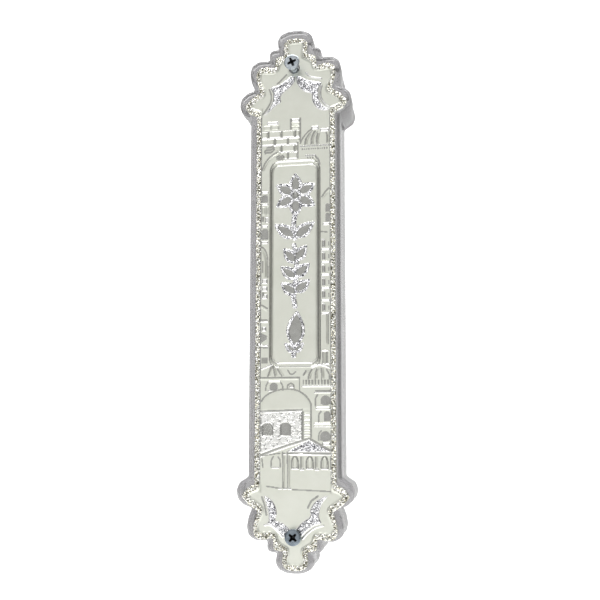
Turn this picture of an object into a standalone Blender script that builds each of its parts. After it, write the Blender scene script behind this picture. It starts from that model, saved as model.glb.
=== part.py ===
"""Mezuzah case with an embossed front plaque, built as separate named pieces.

Frame: metres, +Z up, the front faces -Y, and the origin is on the back mounting plane
(y = 0) at the middle of the case. The scroll lies along Z inside a channel that opens at
the back and is closed by a push-in cover strip. Two countersunk screws pass through the
plaque, the adhesive sheet and the case.
"""

import math

import bmesh
import bpy
from mathutils import Matrix, Vector

MM = 0.001

# ---- driving dimensions, millimetres ----
CASE_LENGTH = 150.0
CASE_HALF_STRAIGHT = 12.65     # half width of the straight middle
CASE_HALF_WIDEST = 15.95       # half width across the shoulder lobes
CASE_DEPTH = 15.0
CASE_EDGE_R = 1.2              # rounding of the front edge
CASE_STEP_Y = -10.2            # moulded line round the outside
CASE_STEP = 0.25
CASE_BACK_CHAMFER = 0.4

PLAQUE_DX = 0.4                # the plaque is fixed a little right of the case's middle,
PLAQUE_DZ = -1.1               # and it and both holes sit a little low
PLAQUE_LENGTH = 145.6
PLAQUE_HALF_STRAIGHT = 10.95
PLAQUE_BASE = 0.5              # sheet thickness behind the relief
PLAQUE_RIM = 0.4               # height of the border band over the field
HOLE_Z = 64.2                  # screw holes, from the plaque's middle
HOLE_R_CASE = 1.6
HOLE_R_SHEET = 1.9
HOLE_R_PLAQUE = 1.6

SHEET_T = 0.2                  # adhesive sheet
CLEAR = 0.1                    # gap left between touching flat faces

CHANNEL_HALF_W = 7.5
CHANNEL_HALF_L = 51.8
CHANNEL_FRONT_Y = -12.6
REBATE_HALF_W = 9.4
REBATE_HALF_L = 54.4
REBATE_Y = -1.8
COVER_T = 1.6
COVER_CLEAR = 0.15
RIB_T = 0.9
RIB_DEPTH = 2.8

SCROLL_L = 100.0
SCROLL_Y = -7.1
SCROLL_SHEET = 0.2
SCROLL_PITCH = 0.55
SCROLL_R_IN = 1.6
SCROLL_TURNS = 5.2
SLEEVE_L = 102.0
SLEEVE_R = 4.8
SLEEVE_T = 0.12

SCREW_L = 25.0
SCREW_HEAD_R = 2.15
SCREW_SHANK_R = 1.12
SCREW_CONE = 1.05
UPPER_PROUD = 4.0              # head's front face over the plaque's field
LOWER_PROUD = 1.5

SHEET_FRONT_Y = -CASE_DEPTH - CLEAR - SHEET_T
PLAQUE_BACK_Y = SHEET_FRONT_Y - CLEAR
PLAQUE_FIELD_Y = PLAQUE_BACK_Y - PLAQUE_BASE


# ---- outline maths ----
def rounded(corners, seg):
    """Open path of (x, z) corners with radii -> list of (x, z, nx, nz), normals to the left of travel."""
    out = []
    n = len(corners)
    for i, (x, z, r) in enumerate(corners):
        p = Vector((x, z))
        if i in (0, n - 1) or r <= 0:
            a = Vector(corners[max(i - 1, 0)][:2])
            b = Vector(corners[min(i + 1, n - 1)][:2])
            d = (b - a).normalized()
            out.append((p.x, p.y, -d.y, d.x))
            continue
        a = (Vector(corners[i - 1][:2]) - p).normalized()
        b = (Vector(corners[i + 1][:2]) - p).normalized()
        half = math.acos(max(-1.0, min(1.0, a.dot(b)))) / 2
        run = r / math.tan(half)
        centre = p + (a + b).normalized() * (r / math.sin(half))
        p0, p1 = p + a * run, p + b * run
        a0 = math.atan2(p0.y - centre.y, p0.x - centre.x)
        a1 = math.atan2(p1.y - centre.y, p1.x - centre.x)
        turn = (a1 - a0 + math.pi) % (2 * math.pi) - math.pi
        steps = max(1, math.ceil(abs(turn) / (math.pi / 2) * seg))
        side = 1.0 if turn < 0 else -1.0
        for k in range(steps + 1):
            t = a0 + turn * k / steps
            c = Vector((math.cos(t), math.sin(t)))
            q = centre + c * r
            out.append((q.x, q.y, side * c.x, side * c.y))
    return out


def full_outline(quarter, seg):
    """Quarter from the tip (x = 0) down to the middle (z = 0), mirrored to a closed clockwise loop."""
    q = rounded(quarter, seg)
    q[0] = (q[0][0], q[0][1], 0.0, 1.0)
    q[-1] = (q[-1][0], q[-1][1], 1.0, 0.0)
    right_low = [(x, -z, nx, -nz) for x, z, nx, nz in reversed(q[:-1])]
    right = q[:-1] + right_low if q[-1][1] > 0 else q + right_low[0:]
    left = [(-x, z, -nx, nz) for x, z, nx, nz in reversed(right[1:-1])]
    return right + left


def offset(loop, d):
    """Loop moved outwards by d along its normals, plain (x, z)."""
    return [(x + nx * d, z + nz * d) for x, z, nx, nz in loop]


def case_quarter():
    tip = CASE_LENGTH / 2
    w = CASE_HALF_WIDEST
    return [
        (0.0, tip, 0),
        (2.0, tip - 0.1, 4.0),
        (4.35, tip - 1.1, 2.2),
        (5.15, tip - 2.8, 2.2),
        (4.8, 69.7, 0.4),
        (7.4, 69.5, 1.5),
        (7.4, 66.55, 0.4),
        (10.6, 66.6, 3.0),
        (12.5, 65.3, 1.7),
        (13.0, 63.1, 2.6),
        (12.6, 60.6, 3.0),
        (11.6, 58.1, 0.5),
        (13.7, 57.4, 1.9),
        (15.45, 55.9, 2.2),
        (w, 53.6, 2.2),
        (15.2, 51.5, 1.9),
        (CASE_HALF_STRAIGHT, 49.8, 0.5),
        (CASE_HALF_STRAIGHT, 0.0, 0),
    ]


def plaque_quarter():
    tip = PLAQUE_LENGTH / 2
    return [
        (0.0, tip, 0),
        (3.5, tip - 0.3, 2.0),
        (3.2, 68.0, 0.35),
        (5.75, 67.5, 0.9),
        (5.8, 64.5, 0.4),
        (8.3, 65.0, 1.8),
        (11.0, 64.8, 2.0),
        (11.2, 61.6, 1.6),
        (10.05, 57.6, 0.6),
        (12.4, 56.1, 1.2),
        (14.5, 53.8, 0.8),
        (13.2, 51.8, 0.9),
        (PLAQUE_HALF_STRAIGHT, 50.7, 0.4),
        (PLAQUE_HALF_STRAIGHT, 0.0, 0),
    ]


def plaque_inner_quarter():
    return [
        (0.0, 71.3, 0),
        (2.1, 71.2, 1.2),
        (1.9, 66.8, 0.4),
        (4.3, 66.3, 0.5),
        (4.4, 63.2, 0.5),
        (8.8, 63.3, 1.2),
        (9.7, 61.4, 1.0),
        (8.5, 57.4, 0.6),
        (10.9, 55.3, 0.6),
        (12.2, 53.7, 0.3),
        (9.5, 51.7, 0.4),
        (9.5, 0.0, 0),
    ]


# ---- mesh helpers ----
def clear_scene():
    for o in list(bpy.data.objects):
        bpy.data.objects.remove(o, do_unlink=True)
    for m in list(bpy.data.meshes):
        bpy.data.meshes.remove(m)
    for m in list(bpy.data.materials):
        bpy.data.materials.remove(m)


def material(name, colour, roughness, metallic=0.0, transmission=0.0, ior=1.45):
    m = bpy.data.materials.new(name)
    m.use_nodes = True
    b = m.node_tree.nodes["Principled BSDF"]
    b.inputs["Base Color"].default_value = (*colour, 1.0)
    b.inputs["Roughness"].default_value = roughness
    b.inputs["Metallic"].default_value = metallic
    b.inputs["Transmission Weight"].default_value = transmission
    b.inputs["IOR"].default_value = ior
    m.diffuse_color = (*colour, 1.0)
    return m


def to_object(bm, name, mat, angle=35.0, location=(0.0, 0.0, 0.0)):
    """One closed mesh, scaled from millimetres, with its origin at location (millimetres)."""
    bmesh.ops.recalc_face_normals(bm, faces=bm.faces)
    bmesh.ops.transform(bm, matrix=Matrix.Scale(MM, 4) @ Matrix.Translation(-Vector(location)), verts=bm.verts)
    mesh = bpy.data.meshes.new(name)
    bm.to_mesh(mesh)
    bm.free()
    mesh.shade_smooth()
    mesh.set_sharp_from_angle(angle=math.radians(angle))
    if mat is not None:
        mesh.materials.append(mat)
    o = bpy.data.objects.new(name, mesh)
    o.location = Vector(location) * MM
    bpy.context.scene.collection.objects.link(o)
    return o


def loft(bm, rings, dx=0.0, dz=0.0):
    """rings: list of (loop of (x, z), y), all with one count, capped at both ends."""
    made = []
    for loop, y in rings:
        made.append([bm.verts.new((x + dx, y, z + dz)) for x, z in loop])
    for r0, r1 in zip(made, made[1:]):
        n = len(r0)
        for i in range(n):
            bm.faces.new((r0[i], r0[(i + 1) % n], r1[(i + 1) % n], r1[i]))
    bm.faces.new(made[0])
    bm.faces.new(list(reversed(made[-1])))
    return made


def round_rect(hw, hl, r, seg=4):
    out = []
    for cx, cz, a in ((hw - r, hl - r, 0.0), (-hw + r, hl - r, 90.0), (-hw + r, -hl + r, 180.0), (hw - r, -hl + r, 270.0)):
        for k in range(seg + 1):
            t = math.radians(a + 90.0 * k / seg)
            out.append((cx + r * math.cos(t), cz + r * math.sin(t)))
    return out


def circle(cx, cz, r, n):
    return [(cx + r * math.cos(2 * math.pi * k / n), cz + r * math.sin(2 * math.pi * k / n)) for k in range(n)]


def cutter(name, rings):
    bm = bmesh.new()
    loft(bm, rings)
    o = to_object(bm, name, None)
    o.hide_render = True
    o.display_type = "WIRE"
    return o


def boolean(o, tool, op="DIFFERENCE"):
    m = o.modifiers.new(tool.name, "BOOLEAN")
    m.operation = op
    m.object = tool
    m.solver = "EXACT"


# ---- the pieces ----
def make_case(mat):
    loop = full_outline(case_quarter(), 4)
    rings = []
    for k in range(4):
        t = math.radians(90.0 * k / 3)
        rings.append((offset(loop, -CASE_EDGE_R * (1 - math.sin(t))), -CASE_DEPTH + CASE_EDGE_R * (1 - math.cos(t))))
    rings.append((offset(loop, 0.0), CASE_STEP_Y))
    rings.append((offset(loop, -CASE_STEP), CASE_STEP_Y + 0.15))
    rings.append((offset(loop, -CASE_STEP), -CASE_BACK_CHAMFER))
    rings.append((offset(loop, -CASE_STEP - CASE_BACK_CHAMFER), 0.0))
    bm = bmesh.new()
    loft(bm, rings)
    case = to_object(bm, "case_body", mat, 50.0)

    boolean(case, cutter("cut_rebate", [(round_rect(REBATE_HALF_W, REBATE_HALF_L, 2.5), REBATE_Y), (round_rect(REBATE_HALF_W, REBATE_HALF_L, 2.5), 2.0)]))
    ch = round_rect(CHANNEL_HALF_W, CHANNEL_HALF_L, 2.0)
    ch_small = round_rect(CHANNEL_HALF_W - 0.8, CHANNEL_HALF_L - 0.8, 1.2)
    boolean(case, cutter("cut_channel", [(ch_small, CHANNEL_FRONT_Y), (ch, CHANNEL_FRONT_Y + 0.8), (ch, 1.0)]))
    for nm, z in (("upper", HOLE_Z + PLAQUE_DZ), ("lower", -HOLE_Z + PLAQUE_DZ)):
        c = circle(0.0, z, HOLE_R_CASE, 20)
        boolean(case, cutter("cut_hole_" + nm, [(c, -CASE_DEPTH - 1.0), (c, 1.0)]))
    # thumb notch that lets a nail lift the cover's lower end
    notch = circle(0.0, -REBATE_HALF_L, 3.0, 20)
    boolean(case, cutter("cut_thumb_notch", [(notch, REBATE_Y + 0.4), (notch, 1.0)]))
    return case


def make_cover(mat):
    hw, hl = REBATE_HALF_W - COVER_CLEAR, REBATE_HALF_L - COVER_CLEAR
    bm = bmesh.new()
    r = 2.5 - COVER_CLEAR
    loft(bm, [(round_rect(hw, hl, r), -COVER_T), (round_rect(hw, hl, r), -0.3), (round_rect(hw - 0.3, hl - 0.3, r - 0.3), 0.0)])
    cover = to_object(bm, "rear_cover", mat, 40.0)
    rx = CHANNEL_HALF_W - 0.2
    for side in (-1, 1):
        rib = [(side * (rx - RIB_T), -46.0), (side * rx, -46.0), (side * rx, 46.0), (side * (rx - RIB_T), 46.0)]
        tip = [(side * (rx - RIB_T), -45.4), (side * (rx - 0.25), -45.4), (side * (rx - 0.25), 45.4), (side * (rx - RIB_T), 45.4)]
        boolean(cover, cutter("rib_" + ("left" if side < 0 else "right"), [(tip, -COVER_T - RIB_DEPTH), (rib, -COVER_T - RIB_DEPTH + 0.6), (rib, -COVER_T + 0.6)]), "UNION")
    return cover


def make_adhesive(mat):
    loop = full_outline(plaque_quarter(), 2)
    bm = bmesh.new()
    loft(bm, [(offset(loop, -0.5), SHEET_FRONT_Y), (offset(loop, -0.5), SHEET_FRONT_Y + SHEET_T)], PLAQUE_DX, PLAQUE_DZ)
    sheet = to_object(bm, "plaque_adhesive", mat, 40.0)
    for nm, z in (("upper", HOLE_Z + PLAQUE_DZ), ("lower", -HOLE_Z + PLAQUE_DZ)):
        c = circle(0.0, z, HOLE_R_SHEET, 20)
        boolean(sheet, cutter("cut_sheet_hole_" + nm, [(c, SHEET_FRONT_Y - 1.0), (c, SHEET_FRONT_Y + 1.0)]))
    return sheet


def make_plaque(mat):
    loop = full_outline(plaque_quarter(), 3)
    top = PLAQUE_FIELD_Y - PLAQUE_RIM
    bm = bmesh.new()
    loft(bm, [(offset(loop, -0.15), top), (offset(loop, 0.0), top + 0.15), (offset(loop, 0.0), PLAQUE_BACK_Y)], PLAQUE_DX, PLAQUE_DZ)
    plaque = to_object(bm, "front_plaque", mat, 40.0)
    inner = [(x + PLAQUE_DX, z + PLAQUE_DZ) for x, z in offset(full_outline(plaque_inner_quarter(), 2), 0.0)]
    boolean(plaque, cutter("cut_field", [(inner, top - 1.0), (inner, PLAQUE_FIELD_Y)]))
    for nm, z in (("upper", HOLE_Z + PLAQUE_DZ), ("lower", -HOLE_Z + PLAQUE_DZ)):
        c = circle(0.0, z, HOLE_R_PLAQUE, 20)
        boolean(plaque, cutter("cut_plaque_hole_" + nm, [(c, top - 1.0), (c, PLAQUE_BACK_Y + 1.0)]))
    # the raised panel in the middle, left standing on the field
    z0, z1 = -19.2, 37.9
    mid = (z0 + z1) / 2 + PLAQUE_DZ
    panel = [(x + PLAQUE_DX, z + mid) for x, z in round_rect(6.95, (z1 - z0) / 2, 2.3)]
    panel_top = [(x + PLAQUE_DX, z + mid) for x, z in round_rect(6.75, (z1 - z0) / 2 - 0.2, 2.1)]
    boolean(plaque, cutter("add_panel", [(panel_top, PLAQUE_FIELD_Y - 0.32), (panel, PLAQUE_FIELD_Y - 0.12), (panel, PLAQUE_FIELD_Y + 0.2)]), "UNION")
    return plaque


def make_scroll(mat):
    """Parchment rolled into an open spiral, one closed strip."""
    per_turn = 18
    n = int(SCROLL_TURNS * per_turn)
    inner, outer = [], []
    for k in range(n + 1):
        t = 2 * math.pi * k / per_turn
        r = SCROLL_R_IN + SCROLL_PITCH * k / per_turn
        c, s = math.cos(t - 0.6), math.sin(t - 0.6)
        inner.append((r * c, r * s))
        outer.append(((r + SCROLL_SHEET) * c, (r + SCROLL_SHEET) * s))
    return spiral_strip(inner, outer, SCROLL_L, "scroll_parchment", mat)


def make_sleeve(mat):
    """Clear film wrapped once round the roll with a short overlap."""
    per_turn = 24
    n = per_turn + 3
    inner, outer = [], []
    for k in range(n + 1):
        t = 2 * math.pi * k / per_turn
        r = SLEEVE_R + 0.3 * k / per_turn
        c, s = math.cos(t + 2.2), math.sin(t + 2.2)
        inner.append((r * c, r * s))
        outer.append(((r + SLEEVE_T) * c, (r + SLEEVE_T) * s))
    return spiral_strip(inner, outer, SLEEVE_L, "scroll_sleeve", mat)


def spiral_strip(inner, outer, length, name, mat):
    bm = bmesh.new()
    levels = []
    for z in (-length / 2, length / 2):
        levels.append((
            [bm.verts.new((x, SCROLL_Y + y, z)) for x, y in inner],
            [bm.verts.new((x, SCROLL_Y + y, z)) for x, y in outer],
        ))
    (i0, o0), (i1, o1) = levels
    for k in range(len(inner) - 1):
        bm.faces.new((i0[k], i0[k + 1], i1[k + 1], i1[k]))
        bm.faces.new((o0[k], o1[k], o1[k + 1], o0[k + 1]))
        bm.faces.new((i0[k], o0[k], o0[k + 1], i0[k + 1]))
        bm.faces.new((i1[k], i1[k + 1], o1[k + 1], o1[k]))
    bm.faces.new((i0[0], i1[0], o1[0], o0[0]))
    bm.faces.new((i0[-1], o0[-1], o1[-1], i1[-1]))
    return to_object(bm, name, mat, 60.0)


def make_screw(name, z, proud, turn_deg, mat):
    """Countersunk wood screw along Y: the head faces -Y and the point ends at +Y."""
    y0 = PLAQUE_FIELD_Y - proud
    profile = [
        (0.0, -0.12), (SCREW_HEAD_R * 0.55, -0.09), (SCREW_HEAD_R * 0.97, 0.0), (SCREW_HEAD_R, 0.12),
        (SCREW_SHANK_R + 0.05, 0.12 + SCREW_CONE), (SCREW_SHANK_R, 0.12 + SCREW_CONE + 0.4),
        (SCREW_SHANK_R, SCREW_L - 3.2), (0.5, SCREW_L - 0.9), (0.0, SCREW_L),
    ]
    n = 20
    bm = bmesh.new()
    rings = []
    for r, y in profile:
        if r == 0.0:
            rings.append([bm.verts.new((0.0, y0 + y, z))])
        else:
            rings.append([bm.verts.new((r * math.cos(2 * math.pi * k / n), y0 + y, z + r * math.sin(2 * math.pi * k / n))) for k in range(n)])
    for a, b in zip(rings, rings[1:]):
        for k in range(n):
            k2 = (k + 1) % n
            if len(a) == 1:
                bm.faces.new((a[0], b[k], b[k2]))
            elif len(b) == 1:
                bm.faces.new((a[k], a[k2], b[0]))
            else:
                bm.faces.new((a[k], a[k2], b[k2], b[k]))
    screw = to_object(bm, name, mat, 40.0, (0.0, y0, z))
    # cross recess, narrowing with depth
    bm = bmesh.new()
    arms = []
    for depth, arm, half in ((-0.6, 1.32, 0.30), (1.5, 0.62, 0.26)):
        pts = []
        for q in range(4):
            t = math.radians(turn_deg + 90.0 * q)
            u, v = Vector((math.cos(t), math.sin(t))), Vector((-math.sin(t), math.cos(t)))
            for a in (u * arm - v * half, u * arm + v * half, u * half + v * half):
                pts.append((a.x, a.y + z))
        arms.append((pts, y0 + depth))
    loft(bm, arms)
    tool = to_object(bm, "cut_recess_" + name, None)
    tool.hide_render = True
    tool.display_type = "WIRE"
    boolean(screw, tool)
    return screw


def main():
    clear_scene()
    clear_plastic = material("clear_plastic", (0.72, 0.72, 0.71), 0.28, transmission=0.6, ior=1.49)
    cover_plastic = material("cover_plastic", (0.80, 0.80, 0.79), 0.40, transmission=0.3, ior=1.49)
    silver = material("silver_plate", (0.70, 0.71, 0.66), 0.34, metallic=1.0)
    glue = material("adhesive", (0.86, 0.85, 0.80), 0.60)
    parchment = material("parchment", (0.86, 0.80, 0.66), 0.75)
    film = material("clear_film", (0.93, 0.94, 0.95), 0.15, transmission=0.9)
    zinc = material("zinc_plate", (0.66, 0.68, 0.70), 0.30, metallic=1.0)

    make_case(clear_plastic)
    make_cover(cover_plastic)
    make_adhesive(glue)
    make_plaque(silver)
    make_scroll(parchment)
    make_sleeve(film)
    make_screw("upper_screw", HOLE_Z + PLAQUE_DZ, UPPER_PROUD, 22.0, zinc)
    make_screw("lower_screw", -HOLE_Z + PLAQUE_DZ, LOWER_PROUD, 48.0, zinc)


main()
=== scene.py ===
"""Looks for the mezuzah case: a clear moulded case, an embossed silver plaque, two screws,
the rolled parchment in its film, the push-in rear strip and the adhesive sheet."""

import math

import bmesh
import bpy
import numpy as np
from mathutils import Matrix, Vector


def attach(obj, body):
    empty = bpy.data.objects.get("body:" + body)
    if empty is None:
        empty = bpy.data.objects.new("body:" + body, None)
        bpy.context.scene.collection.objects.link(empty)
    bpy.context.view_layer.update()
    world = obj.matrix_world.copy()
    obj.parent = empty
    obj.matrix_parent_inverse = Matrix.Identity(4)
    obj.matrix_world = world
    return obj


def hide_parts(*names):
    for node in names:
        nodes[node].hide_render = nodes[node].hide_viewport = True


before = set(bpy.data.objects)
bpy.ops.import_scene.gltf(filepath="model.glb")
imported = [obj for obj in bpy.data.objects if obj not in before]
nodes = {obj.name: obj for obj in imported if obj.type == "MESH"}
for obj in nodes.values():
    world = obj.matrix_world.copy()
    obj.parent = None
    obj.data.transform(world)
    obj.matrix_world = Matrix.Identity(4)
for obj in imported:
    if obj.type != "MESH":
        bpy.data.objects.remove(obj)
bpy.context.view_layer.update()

MM = 0.001

# ---- dimensions shared with the solids, millimetres ----
CASE_LENGTH = 150.0
CASE_HALF_STRAIGHT = 12.65
CASE_HALF_WIDEST = 15.95
CASE_DEPTH = 15.0
CASE_EDGE_R = 1.2
CASE_STEP_Y = -10.2
CASE_STEP = 0.25
CASE_BACK_CHAMFER = 0.4
PLAQUE_DX = 0.4
PLAQUE_DZ = -1.1
PLAQUE_LENGTH = 145.6
PLAQUE_HALF_STRAIGHT = 10.95
PLAQUE_BASE = 0.5
HOLE_Z = 64.2
SHEET_T = 0.2
CLEAR = 0.1
CHANNEL_HALF_W = 7.5
CHANNEL_HALF_L = 51.8
CHANNEL_FRONT_Y = -12.6
REBATE_HALF_W = 9.4
REBATE_HALF_L = 54.4
REBATE_Y = -1.8
COVER_T = 1.6
COVER_CLEAR = 0.15
RIB_T = 0.9
RIB_DEPTH = 2.8
SCROLL_L = 100.0
SCROLL_Y = -7.1
SCROLL_SHEET = 0.2
SCROLL_PITCH = 0.55
SCROLL_R_IN = 1.6
SCROLL_TURNS = 5.2
SLEEVE_L = 102.0
SLEEVE_R = 4.8
SLEEVE_T = 0.12
SCREW_L = 25.0
SCREW_HEAD_R = 2.15
SCREW_SHANK_R = 1.12
SCREW_CONE = 1.05
UPPER_PROUD = 4.0
LOWER_PROUD = 1.5
SHEET_FRONT_Y = -CASE_DEPTH - CLEAR - SHEET_T
PLAQUE_BACK_Y = SHEET_FRONT_Y - CLEAR
PLAQUE_FIELD_Y = PLAQUE_BACK_Y - PLAQUE_BASE


# ---- outline maths ----
def rounded(corners, seg):
    """Open path of (x, z) corners with radii -> list of (x, z, nx, nz)."""
    out = []
    n = len(corners)
    for i, (x, z, r) in enumerate(corners):
        p = Vector((x, z))
        if i in (0, n - 1) or r <= 0:
            a = Vector(corners[max(i - 1, 0)][:2])
            b = Vector(corners[min(i + 1, n - 1)][:2])
            d = (b - a).normalized()
            out.append((p.x, p.y, -d.y, d.x))
            continue
        a = (Vector(corners[i - 1][:2]) - p).normalized()
        b = (Vector(corners[i + 1][:2]) - p).normalized()
        half = math.acos(max(-1.0, min(1.0, a.dot(b)))) / 2
        run = r / math.tan(half)
        centre = p + (a + b).normalized() * (r / math.sin(half))
        p0, p1 = p + a * run, p + b * run
        a0 = math.atan2(p0.y - centre.y, p0.x - centre.x)
        a1 = math.atan2(p1.y - centre.y, p1.x - centre.x)
        turn = (a1 - a0 + math.pi) % (2 * math.pi) - math.pi
        steps = max(1, math.ceil(abs(turn) / (math.pi / 2) * seg))
        side = 1.0 if turn < 0 else -1.0
        for k in range(steps + 1):
            t = a0 + turn * k / steps
            c = Vector((math.cos(t), math.sin(t)))
            q = centre + c * r
            out.append((q.x, q.y, side * c.x, side * c.y))
    return out


def full_outline(quarter, seg):
    """Quarter from the tip down to the middle, mirrored to a closed clockwise loop."""
    q = rounded(quarter, seg)
    q[0] = (q[0][0], q[0][1], 0.0, 1.0)
    q[-1] = (q[-1][0], q[-1][1], 1.0, 0.0)
    low = [(x, -z, nx, -nz) for x, z, nx, nz in reversed(q[:-1])]
    right = q[:-1] + low if q[-1][1] > 0 else q + low
    left = [(-x, z, -nx, nz) for x, z, nx, nz in reversed(right[1:-1])]
    return right + left


def offset(loop, d):
    return [(x + nx * d, z + nz * d) for x, z, nx, nz in loop]


CASE_QUARTER = [
    (0.0, 75.0, 0), (2.0, 74.9, 4.0), (4.35, 73.9, 2.2), (5.15, 72.2, 2.2), (4.8, 69.7, 0.4),
    (7.4, 69.5, 1.5), (7.4, 66.55, 0.4), (10.6, 66.6, 3.0), (12.5, 65.3, 1.7), (13.0, 63.1, 2.6),
    (12.6, 60.6, 3.0), (11.6, 58.1, 0.5), (13.7, 57.4, 1.9), (15.45, 55.9, 2.2),
    (CASE_HALF_WIDEST, 53.6, 2.2), (15.2, 51.5, 1.9), (CASE_HALF_STRAIGHT, 49.8, 0.5),
    (CASE_HALF_STRAIGHT, 0.0, 0),
]
PLAQUE_QUARTER = [
    (0.0, 72.8, 0), (3.5, 72.5, 2.0), (3.2, 68.0, 0.35), (5.75, 67.5, 0.9), (5.8, 64.5, 0.4),
    (8.3, 65.0, 1.8), (11.0, 64.8, 2.0), (11.2, 61.6, 1.6), (10.05, 57.6, 0.6), (12.4, 56.1, 1.2),
    (14.5, 53.8, 0.8), (13.2, 51.8, 0.9), (PLAQUE_HALF_STRAIGHT, 50.7, 0.4), (PLAQUE_HALF_STRAIGHT, 0.0, 0),
]
# the field's scalloped edge, tip to middle; a smooth curve runs through these
FIELD_EDGE = [
    (0.0, 71.2), (1.5, 71.1), (1.95, 70.6), (1.65, 68.8), (1.75, 67.2), (2.8, 66.4), (4.3, 65.4), (4.7, 64.2), (5.3, 63.3), (6.6, 62.9),
    (8.2, 63.05), (9.5, 63.0), (9.9, 62.0), (9.4, 60.2), (8.65, 58.4), (8.6, 57.0), (9.3, 56.0), (11.0, 54.8), (12.15, 53.9),
    (11.7, 53.0), (10.1, 52.3), (9.5, 51.2), (9.5, 49.0), (9.5, 0.0),
]


# ---- mesh helpers ----
def make_object(name, mesh, slots):
    for m in slots:
        mesh.materials.append(m)
    o = bpy.data.objects.new(name, mesh)
    bpy.context.scene.collection.objects.link(o)
    return o


def finish_bmesh(bm, name, slots, angle=35.0, scale=True):
    bmesh.ops.recalc_face_normals(bm, faces=bm.faces)
    if scale:
        bmesh.ops.transform(bm, matrix=Matrix.Scale(MM, 4), verts=bm.verts)
    mesh = bpy.data.meshes.new(name)
    bm.to_mesh(mesh)
    bm.free()
    mesh.shade_smooth()
    if angle is not None:
        mesh.set_sharp_from_angle(angle=math.radians(angle))
    return make_object(name, mesh, slots)


def loft(bm, rings, dx=0.0, dz=0.0):
    made = []
    for loop, y in rings:
        made.append([bm.verts.new((x + dx, y, z + dz)) for x, z in loop])
    for r0, r1 in zip(made, made[1:]):
        n = len(r0)
        for i in range(n):
            bm.faces.new((r0[i], r0[(i + 1) % n], r1[(i + 1) % n], r1[i]))
    bm.faces.new(made[0])
    bm.faces.new(list(reversed(made[-1])))
    return made


def round_rect(hw, hl, r, seg=10):
    out = []
    for cx, cz, a in ((hw - r, hl - r, 0.0), (-hw + r, hl - r, 90.0), (-hw + r, -hl + r, 180.0), (hw - r, -hl + r, 270.0)):
        for k in range(seg + 1):
            t = math.radians(a + 90.0 * k / seg)
            out.append((cx + r * math.cos(t), cz + r * math.sin(t)))
    return out


def circle(cx, cz, r, n):
    return [(cx + r * math.cos(2 * math.pi * k / n), cz + r * math.sin(2 * math.pi * k / n)) for k in range(n)]


def cut(target, tools):
    """Applies (rings, operation) tools to target with exact booleans and leaves one plain mesh."""
    temp = []
    for rings, op in tools:
        bm = bmesh.new()
        loft(bm, rings)
        t = finish_bmesh(bm, "tool", [])
        m = target.modifiers.new("cut", "BOOLEAN")
        m.operation = op
        m.object = t
        m.solver = "EXACT"
        temp.append(t)
    dg = bpy.context.evaluated_depsgraph_get()
    dg.update()
    new = bpy.data.meshes.new_from_object(target.evaluated_get(dg))
    target.modifiers.clear()
    old = target.data
    target.data = new
    new.name = old.name
    bpy.data.meshes.remove(old)
    for t in temp:
        me = t.data
        bpy.data.objects.remove(t, do_unlink=True)
        bpy.data.meshes.remove(me)


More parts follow.
